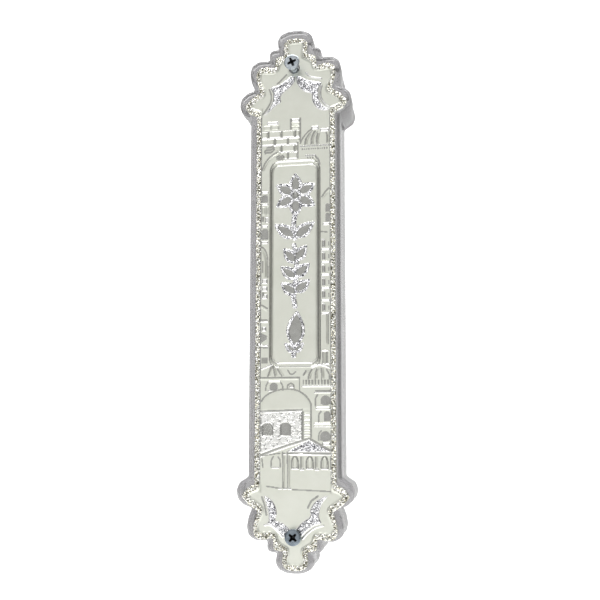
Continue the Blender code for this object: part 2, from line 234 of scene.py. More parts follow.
# ---- materials ----
class Nodes:
    """Short calls for wiring one procedural material."""

    def __init__(self, name, preview=(0.8, 0.8, 0.8)):
        self.m = bpy.data.materials.new(name)
        self.m.use_nodes = True
        self.m.diffuse_color = (*preview, 1.0)
        self.t = self.m.node_tree
        self.b = self.t.nodes["Principled BSDF"]
        self.coord = self.t.nodes.new("ShaderNodeTexCoord").outputs["Object"]

    def set(self, **values):
        for k, v in values.items():
            s = self.b.inputs[k.replace("_", " ")]
            s.default_value = (*v, 1.0) if isinstance(v, tuple) and len(v) == 3 and s.type == "RGBA" else v
        return self

    def scaled(self, scale=(1, 1, 1), rot=(0, 0, 0)):
        n = self.t.nodes.new("ShaderNodeMapping")
        n.inputs["Scale"].default_value = scale
        n.inputs["Rotation"].default_value = rot
        self.t.links.new(self.coord, n.inputs["Vector"])
        return n.outputs["Vector"]

    def noise(self, vector, scale, detail=3.0, rough=0.55, distort=0.0):
        n = self.t.nodes.new("ShaderNodeTexNoise")
        n.inputs["Scale"].default_value = scale
        n.inputs["Detail"].default_value = detail
        n.inputs["Roughness"].default_value = rough
        n.inputs["Distortion"].default_value = distort
        self.t.links.new(vector, n.inputs["Vector"])
        return n.outputs["Fac"]

    def voronoi(self, vector, scale, feature="F1", out="Distance"):
        n = self.t.nodes.new("ShaderNodeTexVoronoi")
        n.feature = feature
        n.inputs["Scale"].default_value = scale
        self.t.links.new(vector, n.inputs["Vector"])
        return n.outputs[out]

    def wave(self, vector, scale, direction="X", distort=0.0, detail=1.0):
        n = self.t.nodes.new("ShaderNodeTexWave")
        n.bands_direction = direction
        n.inputs["Scale"].default_value = scale
        n.inputs["Distortion"].default_value = distort
        n.inputs["Detail"].default_value = detail
        self.t.links.new(vector, n.inputs["Vector"])
        return n.outputs["Fac"]

    def ramp(self, fac, stops, target=None):
        n = self.t.nodes.new("ShaderNodeValToRGB")
        els = n.color_ramp.elements
        while len(els) < len(stops):
            els.new(0.5)
        for e, (pos, col) in zip(els, stops):
            e.position = pos
            e.color = (*col, 1.0) if isinstance(col, tuple) else (col, col, col, 1.0)
        self.t.links.new(fac, n.inputs["Fac"])
        if target:
            self.t.links.new(n.outputs["Color"], self.b.inputs[target])
        return n.outputs["Color"]

    def mix(self, fac, a, b, target=None, blend="MIX"):
        n = self.t.nodes.new("ShaderNodeMix")
        n.data_type = "RGBA"
        n.blend_type = blend
        if isinstance(fac, (int, float)):
            n.inputs[0].default_value = fac
        else:
            self.t.links.new(fac, n.inputs[0])
        self.t.links.new(a, n.inputs[6])
        self.t.links.new(b, n.inputs[7])
        if target:
            self.t.links.new(n.outputs[2], self.b.inputs[target])
        return n.outputs[2]

    def spread(self, fac, lo, hi, target):
        """A 0..1 pattern to the range lo..hi on one shader input."""
        n = self.t.nodes.new("ShaderNodeMapRange")
        n.inputs["From Min"].default_value = 0.3
        n.inputs["From Max"].default_value = 0.7
        n.inputs["To Min"].default_value = lo
        n.inputs["To Max"].default_value = hi
        self.t.links.new(fac, n.inputs["Value"])
        self.t.links.new(n.outputs["Result"], self.b.inputs[target])

    def bump(self, height, strength, distance, after=None):
        n = self.t.nodes.new("ShaderNodeBump")
        n.inputs["Strength"].default_value = strength
        n.inputs["Distance"].default_value = distance
        self.t.links.new(height, n.inputs["Height"])
        if after is not None:
            self.t.links.new(after, n.inputs["Normal"])
        self.t.links.new(n.outputs["Normal"], self.b.inputs["Normal"])
        return n.outputs["Normal"]


def satin_silver():
    s = Nodes("silver_satin", (0.82, 0.83, 0.79)).set(Metallic=1.0)
    cloud = s.noise(s.coord, 220.0, 3.0)
    s.ramp(cloud, [(0.30, (0.795, 0.808, 0.722)), (0.55, (0.828, 0.841, 0.756)), (0.75, (0.850, 0.862, 0.782))], "Base Color")
    s.spread(s.noise(s.coord, 900.0, 4.0), 0.36, 0.46, "Roughness")
    grain = s.noise(s.scaled((1.0, 1.0, 0.35)), 9000.0, 2.0, 0.6)
    s.bump(grain, 0.18, 0.00002)
    return s.m


def cut_silver(name, stops, seed):
    s = Nodes(name, (0.85, 0.84, 0.78)).set(Metallic=1.0)
    at = s.t.nodes.new("ShaderNodeMapping")
    at.inputs["Location"].default_value = (seed, seed * 0.7, -seed)
    s.t.links.new(s.coord, at.inputs["Vector"])
    # per-facet base colours from near black to white: the cream and olive tint of the specks, plus painted glints and
    # painted dark reflections of the facets
    cell = s.voronoi(at.outputs["Vector"], 3100.0, "F1", "Color")
    split = s.t.nodes.new("ShaderNodeSeparateColor")
    s.t.links.new(cell, split.inputs["Color"])
    s.ramp(split.outputs["Red"], stops, "Base Color")
    s.t.nodes[-1].color_ramp.interpolation = "CONSTANT"
    s.spread(s.noise(s.coord, 2600.0, 2.0), 0.08, 0.26, "Roughness")
    s.bump(s.voronoi(s.coord, 4200.0), 0.35, 0.00006)
    return s.m


# dark silver for grooves, slots, joints and hatching: painted shade in the hollows
def groove_shade_silver():
    s = Nodes("silver_groove_shade", (0.4, 0.4, 0.38)).set(Metallic=1.0)
    s.ramp(s.noise(s.coord, 1500.0, 3.0), [(0.3, (0.36, 0.36, 0.335)), (0.7, (0.48, 0.48, 0.45))], "Base Color")
    s.spread(s.noise(s.coord, 1800.0, 2.0), 0.28, 0.42, "Roughness")
    return s.m


def polished_silver():
    s = Nodes("silver_polished", (0.84, 0.84, 0.81)).set(Metallic=1.0)
    s.ramp(s.noise(s.coord, 600.0, 3.0), [(0.3, (0.84, 0.84, 0.81)), (0.7, (0.92, 0.92, 0.90))], "Base Color")
    s.spread(s.noise(s.coord, 1500.0, 3.0), 0.14, 0.26, "Roughness")
    s.bump(s.noise(s.coord, 5000.0, 2.0), 0.08, 0.00002)
    return s.m


# dark base colour on the mirror-polished faces: painted dark reflection, and painted shade where it lines sunk windows,
# pits and grooves
def mirror_silver_painted_dark():
    s = Nodes("silver_mirror_painted_dark", (0.5, 0.5, 0.48)).set(Metallic=1.0)
    s.ramp(s.noise(s.coord, 500.0, 3.0), [(0.3, (0.36, 0.36, 0.34)), (0.7, (0.44, 0.44, 0.42))], "Base Color")
    s.spread(s.noise(s.coord, 1800.0, 2.0), 0.16, 0.30, "Roughness")
    a = s.wave(s.scaled((1, 1, 1), (0, math.radians(45), 0)), 780.0, "X")
    b = s.wave(s.scaled((1, 1, 1), (0, math.radians(-45), 0)), 780.0, "X")
    n = s.bump(a, 0.25, 0.00003)
    s.bump(b, 0.25, 0.00003, n)
    return s.m


def tint(s, density, colour):
    """Absorption through the thickness."""
    v = s.t.nodes.new("ShaderNodeVolumeAbsorption")
    v.inputs["Density"].default_value = density
    v.inputs["Color"].default_value = (*colour, 1.0)
    s.t.links.new(v.outputs["Volume"], s.t.nodes["Material Output"].inputs["Volume"])


def clear_case():
    s = Nodes("clear_case", (0.76, 0.76, 0.75)).set(IOR=1.49, Transmission_Weight=0.76)
    s.ramp(s.noise(s.coord, 60.0, 3.0), [(0.3, (0.71, 0.706, 0.712)), (0.7, (0.79, 0.786, 0.792))], "Base Color")
    s.spread(s.noise(s.scaled((1.0, 1.0, 0.25)), 380.0, 3.0), 0.08, 0.16, "Roughness")
    s.bump(s.noise(s.scaled((1.0, 1.0, 0.2)), 420.0, 3.0), 0.07, 0.0002)
    tint(s, 84.0, (0.30, 0.292, 0.304))
    return s.m


def cover_strip():
    s = Nodes("cover_strip", (0.82, 0.82, 0.81)).set(IOR=1.49, Transmission_Weight=0.45)
    s.ramp(s.noise(s.coord, 80.0, 3.0), [(0.3, (0.80, 0.80, 0.79)), (0.7, (0.86, 0.86, 0.85))], "Base Color")
    s.spread(s.noise(s.coord, 700.0, 3.0), 0.34, 0.48, "Roughness")
    s.bump(s.noise(s.coord, 5200.0, 3.0), 0.30, 0.00005)
    return s.m


def foam_sheet():
    s = Nodes("adhesive_foam", (0.85, 0.84, 0.79))
    s.ramp(s.noise(s.coord, 300.0, 4.0), [(0.3, (0.80, 0.79, 0.73)), (0.7, (0.88, 0.87, 0.83))], "Base Color")
    s.spread(s.noise(s.coord, 900.0), 0.5, 0.7, "Roughness")
    s.bump(s.voronoi(s.coord, 2600.0), 0.4, 0.0001)
    return s.m


def parchment_skin():
    s = Nodes("parchment", (0.86, 0.80, 0.66)).set(Subsurface_Weight=0.08, Subsurface_Radius=(0.0012, 0.0009, 0.0006))
    broad = s.ramp(s.noise(s.coord, 90.0, 5.0, 0.6), [(0.28, (0.72, 0.62, 0.44)), (0.5, (0.84, 0.77, 0.61)), (0.75, (0.90, 0.85, 0.72))])
    pores = s.ramp(s.voronoi(s.coord, 2200.0), [(0.0, (0.80, 0.74, 0.62)), (0.35, (1.0, 1.0, 1.0))])
    s.mix(0.35, broad, pores, "Base Color", "MULTIPLY")
    s.spread(s.noise(s.coord, 1200.0, 4.0), 0.62, 0.82, "Roughness")
    s.bump(s.noise(s.scaled((1.0, 1.0, 0.6)), 1500.0, 5.0, 0.65), 0.45, 0.00012)
    return s.m


def film():
    s = Nodes("roll_film", (0.95, 0.96, 0.97)).set(IOR=1.45, Transmission_Weight=1.0)
    s.ramp(s.noise(s.coord, 120.0, 2.0), [(0.3, (0.95, 0.96, 0.97)), (0.7, (0.985, 0.99, 0.995))], "Base Color")
    s.spread(s.noise(s.coord, 500.0, 3.0), 0.03, 0.10, "Roughness")
    s.bump(s.noise(s.scaled((1.0, 1.0, 0.3)), 260.0, 3.0), 0.25, 0.0003)
    return s.m


def zinc(name, light, dark):
    s = Nodes(name, light).set(Metallic=1.0)
    s.ramp(s.noise(s.coord, 900.0, 4.0, 0.6), [(0.28, dark), (0.55, light), (0.8, tuple(min(1.0, c * 1.12) for c in light))], "Base Color")
    s.spread(s.noise(s.coord, 2400.0, 4.0), 0.18, 0.36, "Roughness")
    s.bump(s.noise(s.coord, 5200.0, 3.0), 0.22, 0.00004)
    return s.m


# near-black for the screws' driver recesses: painted shade
def painted_recess_shade():
    s = Nodes("recess_painted_shade", (0.04, 0.04, 0.045)).set(Metallic=0.6)
    s.ramp(s.noise(s.coord, 2000.0, 3.0), [(0.3, (0.018, 0.019, 0.022)), (0.7, (0.06, 0.063, 0.07))], "Base Color")
    s.spread(s.noise(s.coord, 1500.0), 0.42, 0.60, "Roughness")
    return s.m


# ---- the embossed plaque, one height field ----
CELL = 0.145
NX, NZ = 208, 1016
xs = (np.arange(NX + 1) - NX / 2) * CELL
zs = (np.arange(NZ + 1) - NZ / 2) * CELL
X, Z = np.meshgrid(xs, zs, indexing="ij")
H = np.zeros_like(X)
ZONE = np.zeros(X.shape, dtype=np.int8)
# LINE and MIRROR pick dark silvers: painted shade in grooves, slots and sunk places, and painted dark reflection on the
# mirror faces
SATIN, CUT, POLISH, MIRROR, SIDE, LINE, CUT_COOL = range(7)


def window(x0, x1, z0, z1, pad=0.7):
    i0, i1 = np.searchsorted(xs, [x0 - pad, x1 + pad])
    j0, j1 = np.searchsorted(zs, [z0 - pad, z1 + pad])
    return slice(max(i0, 0), min(i1, NX) + 1), slice(max(j0, 0), min(j1, NZ) + 1)


def sd_polygon(px, pz, poly):
    """Signed distance to a closed polygon, negative inside."""
    poly = np.asarray(poly, dtype=float)
    d = np.full(px.shape, 1e9)
    inside = np.zeros(px.shape, dtype=bool)
    ax, az = poly[-1]
    for bx, bz in poly:
        ex, ez = bx - ax, bz - az
        wx, wz = px - ax, pz - az
        t = np.clip((wx * ex + wz * ez) / max(ex * ex + ez * ez, 1e-12), 0.0, 1.0)
        qx, qz = wx - ex * t, wz - ez * t
        np.minimum(d, qx * qx + qz * qz, out=d)
        if az != bz:
            cross = ((az > pz) != (bz > pz)) & (px < (bx - ax) * (pz - az) / (bz - az) + ax)
            inside ^= cross
        ax, az = bx, bz
    d = np.sqrt(d)
    return np.where(inside, -d, d)


def sd_line(px, pz, pts):
    d = np.full(px.shape, 1e9)
    for (ax, az), (bx, bz) in zip(pts, pts[1:]):
        ex, ez = bx - ax, bz - az
        wx, wz = px - ax, pz - az
        t = np.clip((wx * ex + wz * ez) / max(ex * ex + ez * ez, 1e-12), 0.0, 1.0)
        np.minimum(d, (wx - ex * t) ** 2 + (wz - ez * t) ** 2, out=d)
    return np.sqrt(d)


def sd_box(px, pz, x0, x1, z0, z1):
    qx = np.abs(px - (x0 + x1) / 2) - (x1 - x0) / 2
    qz = np.abs(pz - (z0 + z1) / 2) - (z1 - z0) / 2
    return np.hypot(np.maximum(qx, 0), np.maximum(qz, 0)) + np.minimum(np.maximum(qx, qz), 0)


def smooth(t):
    t = np.clip(t, 0.0, 1.0)
    return t * t * (3 - 2 * t)


def curve(pts, n=6):
    """Catmull-Rom through pts."""
    p = [np.array(q, dtype=float) for q in pts]
    p = [2 * p[0] - p[1]] + p + [2 * p[-1] - p[-2]]
    out = []
    for i in range(1, len(p) - 2):
        for k in range(n):
            t = k / n
            out.append(tuple(0.5 * (2 * p[i] + (p[i + 1] - p[i - 1]) * t + (2 * p[i - 1] - 5 * p[i] + 4 * p[i + 1] - p[i + 2]) * t * t
                                    + (3 * p[i] - p[i - 1] - 3 * p[i + 1] + p[i + 2]) * t ** 3)))
    out.append(tuple(p[-2]))
    return out


def box_of(pts):
    a = np.asarray(pts, dtype=float)
    return a[:, 0].min(), a[:, 0].max(), a[:, 1].min(), a[:, 1].max()


def ridge(pts, w=0.42, h=0.13, zone=None):
    """A rounded bead along a line, or an engraved groove where h is negative, coloured dark as painted shade."""
    if h < 0:
        w *= 0.84
        zone = LINE if zone is None else zone
    s = window(*box_of(pts))
    d = sd_line(X[s], Z[s], pts)
    t = np.clip(1 - (2 * d / w) ** 2, 0, 1)
    H[s] += h * t
    if zone is not None:
        ZONE[s][t > 0.25] = zone


def raise_to(s, sd, h, bevel, zone=None):
    H[s] = np.maximum(H[s], h * smooth(-sd / bevel))
    if zone is not None:
        ZONE[s][sd < -0.02] = zone


def block(x0, x1, z0, z1, h=0.16, bevel=0.22, zone=None):
    s = window(x0, x1, z0, z1)
    raise_to(s, sd_box(X[s], Z[s], x0, x1, z0, z1), h, bevel, zone)


# sunk places take the dark mirror silver by default: painted shade
def sink(s, sd, depth, bevel, zone=MIRROR):
    H[s] -= depth * smooth(-sd / bevel)
    ZONE[s][sd < -0.05] = zone


def arch(x0, x1, z0, z1, depth=0.12, rim=0.0, zone=MIRROR):
    """Round-headed window sunk in the field, with a thin raised rim where rim > 0."""
    r = (x1 - x0) / 2
    s = window(x0, x1, z0, z1)
    sd = np.minimum(sd_box(X[s], Z[s], x0, x1, z0, z1 - r), np.hypot(X[s] - (x0 + x1) / 2, Z[s] - (z1 - r)) - r)
    if rim:
        H[s] += rim * np.clip(1 - (np.abs(sd - 0.25) / 0.22) ** 2, 0, 1)
    sink(s, sd, depth, 0.16, zone)


# slots take the dark groove silver by default: painted shade
def slotted(x0, x1, z0, z1, depth=0.14, zone=LINE):
    s = window(x0, x1, z0, z1)
    sink(s, sd_box(X[s], Z[s], x0, x1, z0, z1), depth, 0.14, zone)


def dots(x0, x1, z, pitch, w=0.42, h=0.12, vertical=False, zone=None):
    """A row of round pearls."""
    s = window(*((x0, x1, z - w, z + w) if not vertical else (z - w, z + w, x0, x1)))
    along, across = (X[s], Z[s]) if not vertical else (Z[s], X[s])
    n = max(1, round((x1 - x0) / pitch))
    u = np.clip(np.round((along - x0) / pitch), 0, n) * pitch + x0
    d = np.hypot(along - u, across - z)
    t = np.clip(1 - (2 * d / w) ** 2, 0, 1)
    H[s] += h * t
    if zone is not None:
        ZONE[s][t > 0.1] = zone


def facets(size, tilt, rise, seed, stretch=1.0):
    """Random flat facets: a jittered-cell plane field over the whole sheet, about 0..rise."""
    rng = np.random.default_rng(seed)
    sx, sz = size, size * stretch
    n_i, n_j = int(31 / sx) + 4, int(148 / sz) + 4
    jit = rng.uniform(0.12, 0.88, (n_i, n_j, 2))
    gx = rng.uniform(-tilt, tilt, (n_i, n_j))
    gz = rng.uniform(-tilt, tilt, (n_i, n_j))
    h0 = rng.uniform(0, rise, (n_i, n_j))
    ci = np.floor((X + 15.5) / sx).astype(int) + 1
    cj = np.floor((Z + 74.0) / sz).astype(int) + 1
    best = np.full(X.shape, 1e9)
    second = np.full(X.shape, 1e9)
    out = np.zeros(X.shape)
    for di in (-1, 0, 1):
        for dj in (-1, 0, 1):
            a = np.clip(ci + di, 0, n_i - 1)
            b = np.clip(cj + dj, 0, n_j - 1)
            px = (a - 1 + jit[a, b, 0]) * sx - 15.5
            pz = (b - 1 + jit[a, b, 1]) * sz - 74.0
            d = np.hypot(X - px, (Z - pz) / stretch)
            h = h0[a, b] + gx[a, b] * (X - px) + gz[a, b] * (Z - pz)
            closer = d < best
            second = np.where(closer, best, np.minimum(second, d))
            out = np.where(closer, h, out)
            best = np.minimum(best, d)
    return out, second - best


GLITTER, _ = facets(0.40, 0.62, 0.10, 11)
FINE, _ = facets(0.38, 0.50, 0.08, 23)
_, STONE_GAP = facets(1.9, 0.0, 0.0, 5, 0.30)
STONE_H, _ = facets(1.9, 0.12, 0.06, 5, 0.30)


def glitter_patch(poly, h=0.22, bevel=0.35, field=None):
    """A raised patch whose top is cut in facets and whose edge is a smooth polished slope."""
    s = window(*box_of(poly))
    sd = sd_polygon(X[s], Z[s], poly)
    f = (GLITTER if field is None else field)[s]
    t = smooth(-sd / bevel)
    H[s] = np.maximum(H[s], t * h + f * smooth((-sd - bevel * 0.55) / 0.15))
    ZONE[s][sd < -0.02] = POLISH
    ZONE[s][sd < -bevel * 0.7] = CUT_COOL


plaque_loop = full_outline(PLAQUE_QUARTER, 8)
edge_right = curve(FIELD_EDGE, 4)
edge_half = edge_right + [(x, -z) for x, z in reversed(edge_right[:-1])]
field_loop = edge_half + [(-x, z) for x, z in reversed(edge_half[1:-1])]
d_in = -sd_polygon(X, Z, offset(plaque_loop, 0.0))
d_field = sd_polygon(X, Z, field_loop)
hole_x = -PLAQUE_DX


def skyline():
    # --- brick keep, upper left ---
    keep = [(-9.45, 46.25), (1.15, 46.25), (1.15, 43.0), (0.5, 42.8), (0.5, 37.95), (-2.9, 37.95), (-3.5, 39.0), (-5.0, 40.6),
            (-6.4, 41.9), (-9.45, 42.0)]
    s = window(*box_of(keep))
    sd = sd_polygon(X[s], Z[s], keep)
    courses = [46.25, 44.15, 42.1, 40.05, 37.95]
    joints = [(-7.65, -3.9, -0.1), (-5.8, -2.1), (-3.9, -0.15), (-2.1,)]
    bed = np.full(sd.shape, 9.0)
    head = np.full(sd.shape, 9.0)
    for z in courses:
        bed = np.minimum(bed, np.abs(Z[s] - z))
    for (z1, z0), row in zip(zip(courses, courses[1:]), joints):
        for x in row:
            inside = (Z[s] < z1 - 0.12) & (Z[s] > z0 + 0.12)
            head = np.where(inside, np.minimum(head, np.abs(X[s] - x)), head)
    stone = 0.22 * smooth((np.minimum(bed, head - 0.08) - 0.10) / 0.22) * smooth(-sd / 0.2)
    # the vertical head joints take the dark groove silver as painted shade; the bed joints take the polished silver
    ZONE[s][(head < 0.13) & (sd < 0)] = LINE
    H[s] = np.maximum(H[s], stone)
    ZONE[s][(bed < 0.24) & (sd < 0)] = POLISH
    ridge([(1.35, 49.6), (1.35, 43.0)], 0.296, -0.12)
    ridge([(-1.35, 49.4), (-1.35, 46.6)], 0.296, -0.12)
    ridge([(0.7, 42.6), (0.7, 38.1)], 0.296, -0.12)
    # turret with narrow courses
    block(-1.1, 1.1, 46.45, 47.35, 0.18, 0.2)
    block(-1.1, 1.1, 47.55, 48.35, 0.18, 0.2)
    block(-1.1, 1.1, 48.6, 49.5, 0.20, 0.2, POLISH)
    # low merlons to the left
    block(-9.0, -7.0, 46.55, 47.9, 0.15, 0.2)
    block(-6.8, -4.7, 46.55, 47.9, 0.15, 0.2)
    block(-8.0, -4.9, 48.1, 49.0, 0.16, 0.2, POLISH)
    # hatched shadow under the arch
    s = window(-9.3, -5.4, 39.4, 42.4)
    u, v = (X[s] + 7.3) * 0.86 + (Z[s] - 40.9) * 0.5, -(X[s] + 7.3) * 0.5 + (Z[s] - 40.9) * 0.86
    sd = np.hypot(u / 1.75, v / 1.05) - 1
    hatch = np.cos(2 * math.pi * (0.45 * X[s] - Z[s] + 0.25 * np.sin(2.1 * X[s])) / 0.72)
    H[s] += 0.05 * (0.5 + 0.5 * hatch) * smooth(-sd / 0.3)
    ZONE[s][(sd < -0.05) & (hatch < 0.15)] = LINE
    s = window(-5.5, -3.0, 37.6, 39.4, 0.1)
    sd = np.hypot((X[s] + 4.25) / 1.2, (Z[s] - 38.5) / 0.8) - 1
    hatch = np.cos(2 * math.pi * (0.6 * X[s] - Z[s]) / 0.66)
    H[s] += 0.05 * (0.5 + 0.5 * hatch) * smooth(-sd / 0.3)
    ZONE[s][(sd < -0.05) & (hatch < 0.2)] = LINE
    ridge(curve([(-9.4, 35.2), (-8.7, 36.9), (-7.6, 38.4), (-6.3, 39.5), (-5.0, 40.2)]), 0.311, -0.12)
    ridge(curve([(-9.0, 35.0), (-8.3, 36.6), (-7.2, 38.0), (-5.9, 39.0), (-4.6, 39.8)]), 0.42, 0.13)
    # ribbed dome, upper right
    ridge(curve([(1.4, 42.4), (2.0, 43.7), (3.1, 45.1), (4.4, 46.1), (5.7, 46.6)]), 0.311, -0.11)
    block(4.5, 6.4, 46.05, 46.95, 0.20, 0.25, POLISH)
    block(6.9, 9.3, 45.3, 46.3, 0.20, 0.25, POLISH)
    for rib in ([(2.6, 42.0), (2.9, 43.4), (3.7, 44.7), (4.7, 45.6)], [(4.4, 42.0), (4.4, 43.4), (4.9, 44.7), (5.6, 45.5)],
                [(6.0, 42.0), (5.8, 43.3), (6.2, 44.9)], [(8.7, 42.2), (8.8, 43.6), (8.6, 45.0)]):
        c = curve(rib)
        ridge(c, 0.34, -0.15)
        ridge([(x + 0.42, z) for x, z in c], 0.40, 0.12)
    dots(1.6, 9.0, 41.45, 0.74, 0.5, 0.15, zone=POLISH)
    dots(1.9, 8.7, 40.6, 0.62, 0.311, -0.12, zone=MIRROR)
    # small lantern between keep and panel
    ridge(curve([(5.5, 38.4), (6.3, 37.6), (6.8, 36.1)]), 0.37, -0.16, MIRROR)
    ridge(curve([(5.0, 38.1), (5.8, 37.3), (6.2, 36.1)]), 0.4, 0.12)
    dots(3.1, 5.3, 38.7, 0.72, 0.55, 0.15, zone=POLISH)
    dots(3.4, 5.0, 38.0, 0.72, 0.333, -0.12, zone=MIRROR)

    # --- raised centre panel with a double bead ---
    cx, cz, hw, hl = -0.15, 8.8, 6.9, 28.7
    s = window(cx - hw, cx + hw, cz - hl, cz + hl)

    def rr(hw, hl, r, dz=0.0):
        qx, qz = np.abs(X[s] - cx) - hw + r, np.abs(Z[s] - cz - dz) - hl + r
        return np.hypot(np.maximum(qx, 0), np.maximum(qz, 0)) + np.minimum(np.maximum(qx, qz), 0) - r

    outer = rr(hw, hl, 2.8)
    inner = rr(hw - 0.62, hl - 1.25, 2.3)
    flank = np.abs(X[s] - cx) - hw + 2.8 > np.maximum(np.abs(Z[s] - cz) - hl + 2.8, 0) * 0.55
    H[s] += 0.14 * smooth(-outer / 0.2)
    H[s] += 0.14 * np.clip(1 - ((outer + 0.22) / 0.22) ** 2, 0, 1)
    H[s] += 0.14 * np.clip(1 - ((inner + 0.05) / 0.22) ** 2, 0, 1)
    # the lines' vertical flanks take the dark groove silver and their top and bottom runs the polished silver: painted
    # shade on the sides, painted highlight on the runs facing the light above
    for line, mid in ((outer, 0.02), (inner, 0.20)):
        on_line = np.abs(line - mid) < 0.10
        H[s] -= 0.07 * np.clip(1 - ((line - mid) / 0.18) ** 2, 0, 1)
        ZONE[s][on_line & flank] = LINE
    for line, mid in ((outer, -0.22), (inner, -0.05)):
        ZONE[s][(np.abs(line - mid) < 0.17) & ~flank] = POLISH

    # --- left margin: stacked windows and sills ---
    arch(-9.35, -7.65, 26.0, 28.1, 0.12, 0.06)
    block(-9.4, -7.6, 28.4, 29.1, 0.20, 0.22, POLISH)
    block(-9.4, -7.6, 25.1, 25.75, 0.20, 0.22, POLISH)
    block(-9.3, -8.4, 22.4, 24.7, 0.14, 0.22)
    block(-8.1, -7.5, 22.4, 24.7, 0.14, 0.2)
    slotted(-9.35, -8.75, 20.6, 22.0)
    block(-8.4, -7.5, 20.2, 21.8, 0.18, 0.22, POLISH)
    arch(-9.35, -7.6, 15.6, 18.6, 0.13, 0.06)
    block(-9.3, -7.7, 18.9, 19.5, 0.20, 0.22, POLISH)
    block(-9.4, -7.6, 14.3, 15.1, 0.20, 0.22, POLISH)
    ridge(curve([(-9.3, 13.5), (-8.3, 12.4), (-7.75, 10.4), (-7.65, 7.8), (-7.65, 5.0)]), 0.311, -0.13)
    ridge(curve([(-9.4, 12.7), (-8.8, 11.7), (-8.25, 10.1), (-8.15, 7.6), (-8.15, 5.0)]), 0.42, 0.13)
    slotted(-9.3, -8.8, 6.2, 9.6)
    for z in (3.2, 1.1, -1.0):
        block(-9.3, -7.7, z, z + 1.35, 0.17, 0.24, POLISH)
    slotted(-9.3, -8.6, -0.1, 0.9)
    ridge([(-9.3, -2.6), (-7.7, -3.6)], 0.333, -0.13)
    ridge([(-9.3, -3.2), (-7.7, -4.2)], 0.45, 0.13)
    ridge([(-9.4, -7.2), (-7.6, -7.3)], 0.42, 0.14, POLISH)
    ridge([(-9.4, -6.7), (-7.6, -6.8)], 0.34, -0.10)
    block(-9.2, -8.0, -9.9, -8.6, 0.20, 0.3, POLISH)
    tri = [(-9.35, -10.3), (-7.75, -11.1), (-7.9, -12.0), (-9.35, -12.9)]
    s = window(*box_of(tri))
    sink(s, sd_polygon(X[s], Z[s], tri), 0.12, 0.16)
    ridge([(-9.4, -13.7), (-7.6, -13.8)], 0.42, 0.14, POLISH)
    ridge([(-9.4, -14.2), (-7.6, -14.3)], 0.34, -0.10)
    slotted(-9.2, -7.5, -18.6, -17.0, 0.10)

    # --- right margin: arch, sill and a row of niches ---
    ridge([(7.3, 26.9), (8.2, 28.2), (9.2, 29.2)], 0.311, -0.13)
    ridge([(7.6, 26.5), (8.5, 27.7), (9.3, 28.5)], 0.36, 0.12)
    arch(8.3, 9.45, 22.6, 24.9, 0.13)
    arch(8.3, 9.45, 19.9, 22.3, 0.13)
    block(7.6, 9.4, 18.9, 19.6, 0.20, 0.22, POLISH)
    ridge([(7.1, 17.2), (8.6, 17.0)], 0.296, -0.12)
    for k, z in enumerate((13.7, 10.2, 6.7, 3.1, -0.3, -3.8)):
        slotted(7.2, 7.62, z - 0.75, z + 0.95, 0.16)
        ridge([(7.95, z - 0.7), (7.95, z + 0.9)], 0.3, 0.10, POLISH)
        slotted(8.95, 9.3, z - 0.5, z + 0.6, 0.10)
        block(7.15, 9.3, z - 1.75, z - 1.2, 0.20, 0.24, POLISH)
        block(7.1, 7.9, z + 1.15, z + 1.45, 0.14, 0.2, POLISH)
    ridge([(9.0, -5.4), (9.0, -13.4)], 0.311, -0.14)
    ridge([(8.55, -5.4), (8.55, -13.4)], 0.36, 0.10)
    for x in (7.5, 8.65):
        ridge([(x, -15.6), (x, -18.6)], 0.311, -0.13)
    ridge([(8.08, -15.4), (8.08, -18.6)], 0.5, 0.12)
    ridge([(7.2, -15.4), (8.9, -15.4)], 0.4, 0.13, POLISH)
    ridge([(7.2, -18.9), (9.1, -18.9)], 0.4, 0.13, POLISH)

    # --- tents, small windows and the second ribbed dome under the panel ---
    ridge([(-9.2, -20.1), (-6.3, -19.0)], 0.4, 0.14, POLISH)
    for a, b in (((-6.6, -19.4), (-7.5, -22.0)), ((-6.1, -19.3), (-5.5, -22.0)), ((-4.9, -20.1), (-3.6, -22.0))):
        ridge([a, b], 0.311, -0.14)
        ridge([(a[0] + 0.4, a[1]), (b[0] + 0.4, b[1])], 0.34, 0.10)
    ridge(curve([(-2.0, -20.5), (-1.4, -21.4), (-0.7, -21.5), (0.1, -20.9)]), 0.296, -0.13)
    ridge([(-9.35, -22.4), (1.15, -22.4)], 0.296, -0.14)
    ridge([(-9.35, -22.85), (0.8, -22.85)], 0.36, 0.12)
    ridge([(1.15, -22.4), (1.15, -25.9)], 0.34, -0.14)
    for a in (-8.05, -3.35):
        ridge(curve([(a, -25.8), (a + (0.12 if a < -6 else -0.12), -24.6), (a + (0.6 if a < -6 else -0.6), -23.7)]), 0.311, -0.13)
    ridge([(-7.2, -23.4), (-4.2, -23.4)], 0.42, 0.14, POLISH)
    arch(-6.95, -4.75, -25.5, -23.8, 0.12)
    ridge([(-7.2, -25.95), (-4.4, -25.75)], 0.36, 0.13, POLISH)
    ridge(curve([(-2.1, -25.5), (-2.0, -24.5), (-1.2, -24.0), (-0.4, -24.5), (-0.3, -25.4)]), 0.326, -0.14)
    dots(-1.2, -1.1, -24.9, 0.5, 0.7, 0.15, zone=POLISH)
    for a in ([(2.2, -21.8), (2.9, -20.7)], [(3.5, -22.8), (3.8, -21.4), (4.5, -20.3)], [(5.4, -22.8), (5.4, -21.5), (5.8, -20.2)],
              [(7.1, -22.8), (7.1, -21.4), (7.0, -20.1)], [(9.2, -22.9), (9.1, -21.5), (8.4, -20.3)]):
        c = curve(a)
        ridge(c, 0.355, -0.15)
        ridge([(x + 0.45, z) for x, z in c], 0.40, 0.11)
    ridge(curve([(4.6, -19.8), (6.0, -19.2), (7.8, -19.3), (9.2, -19.9)]), 0.5, 0.16, POLISH)
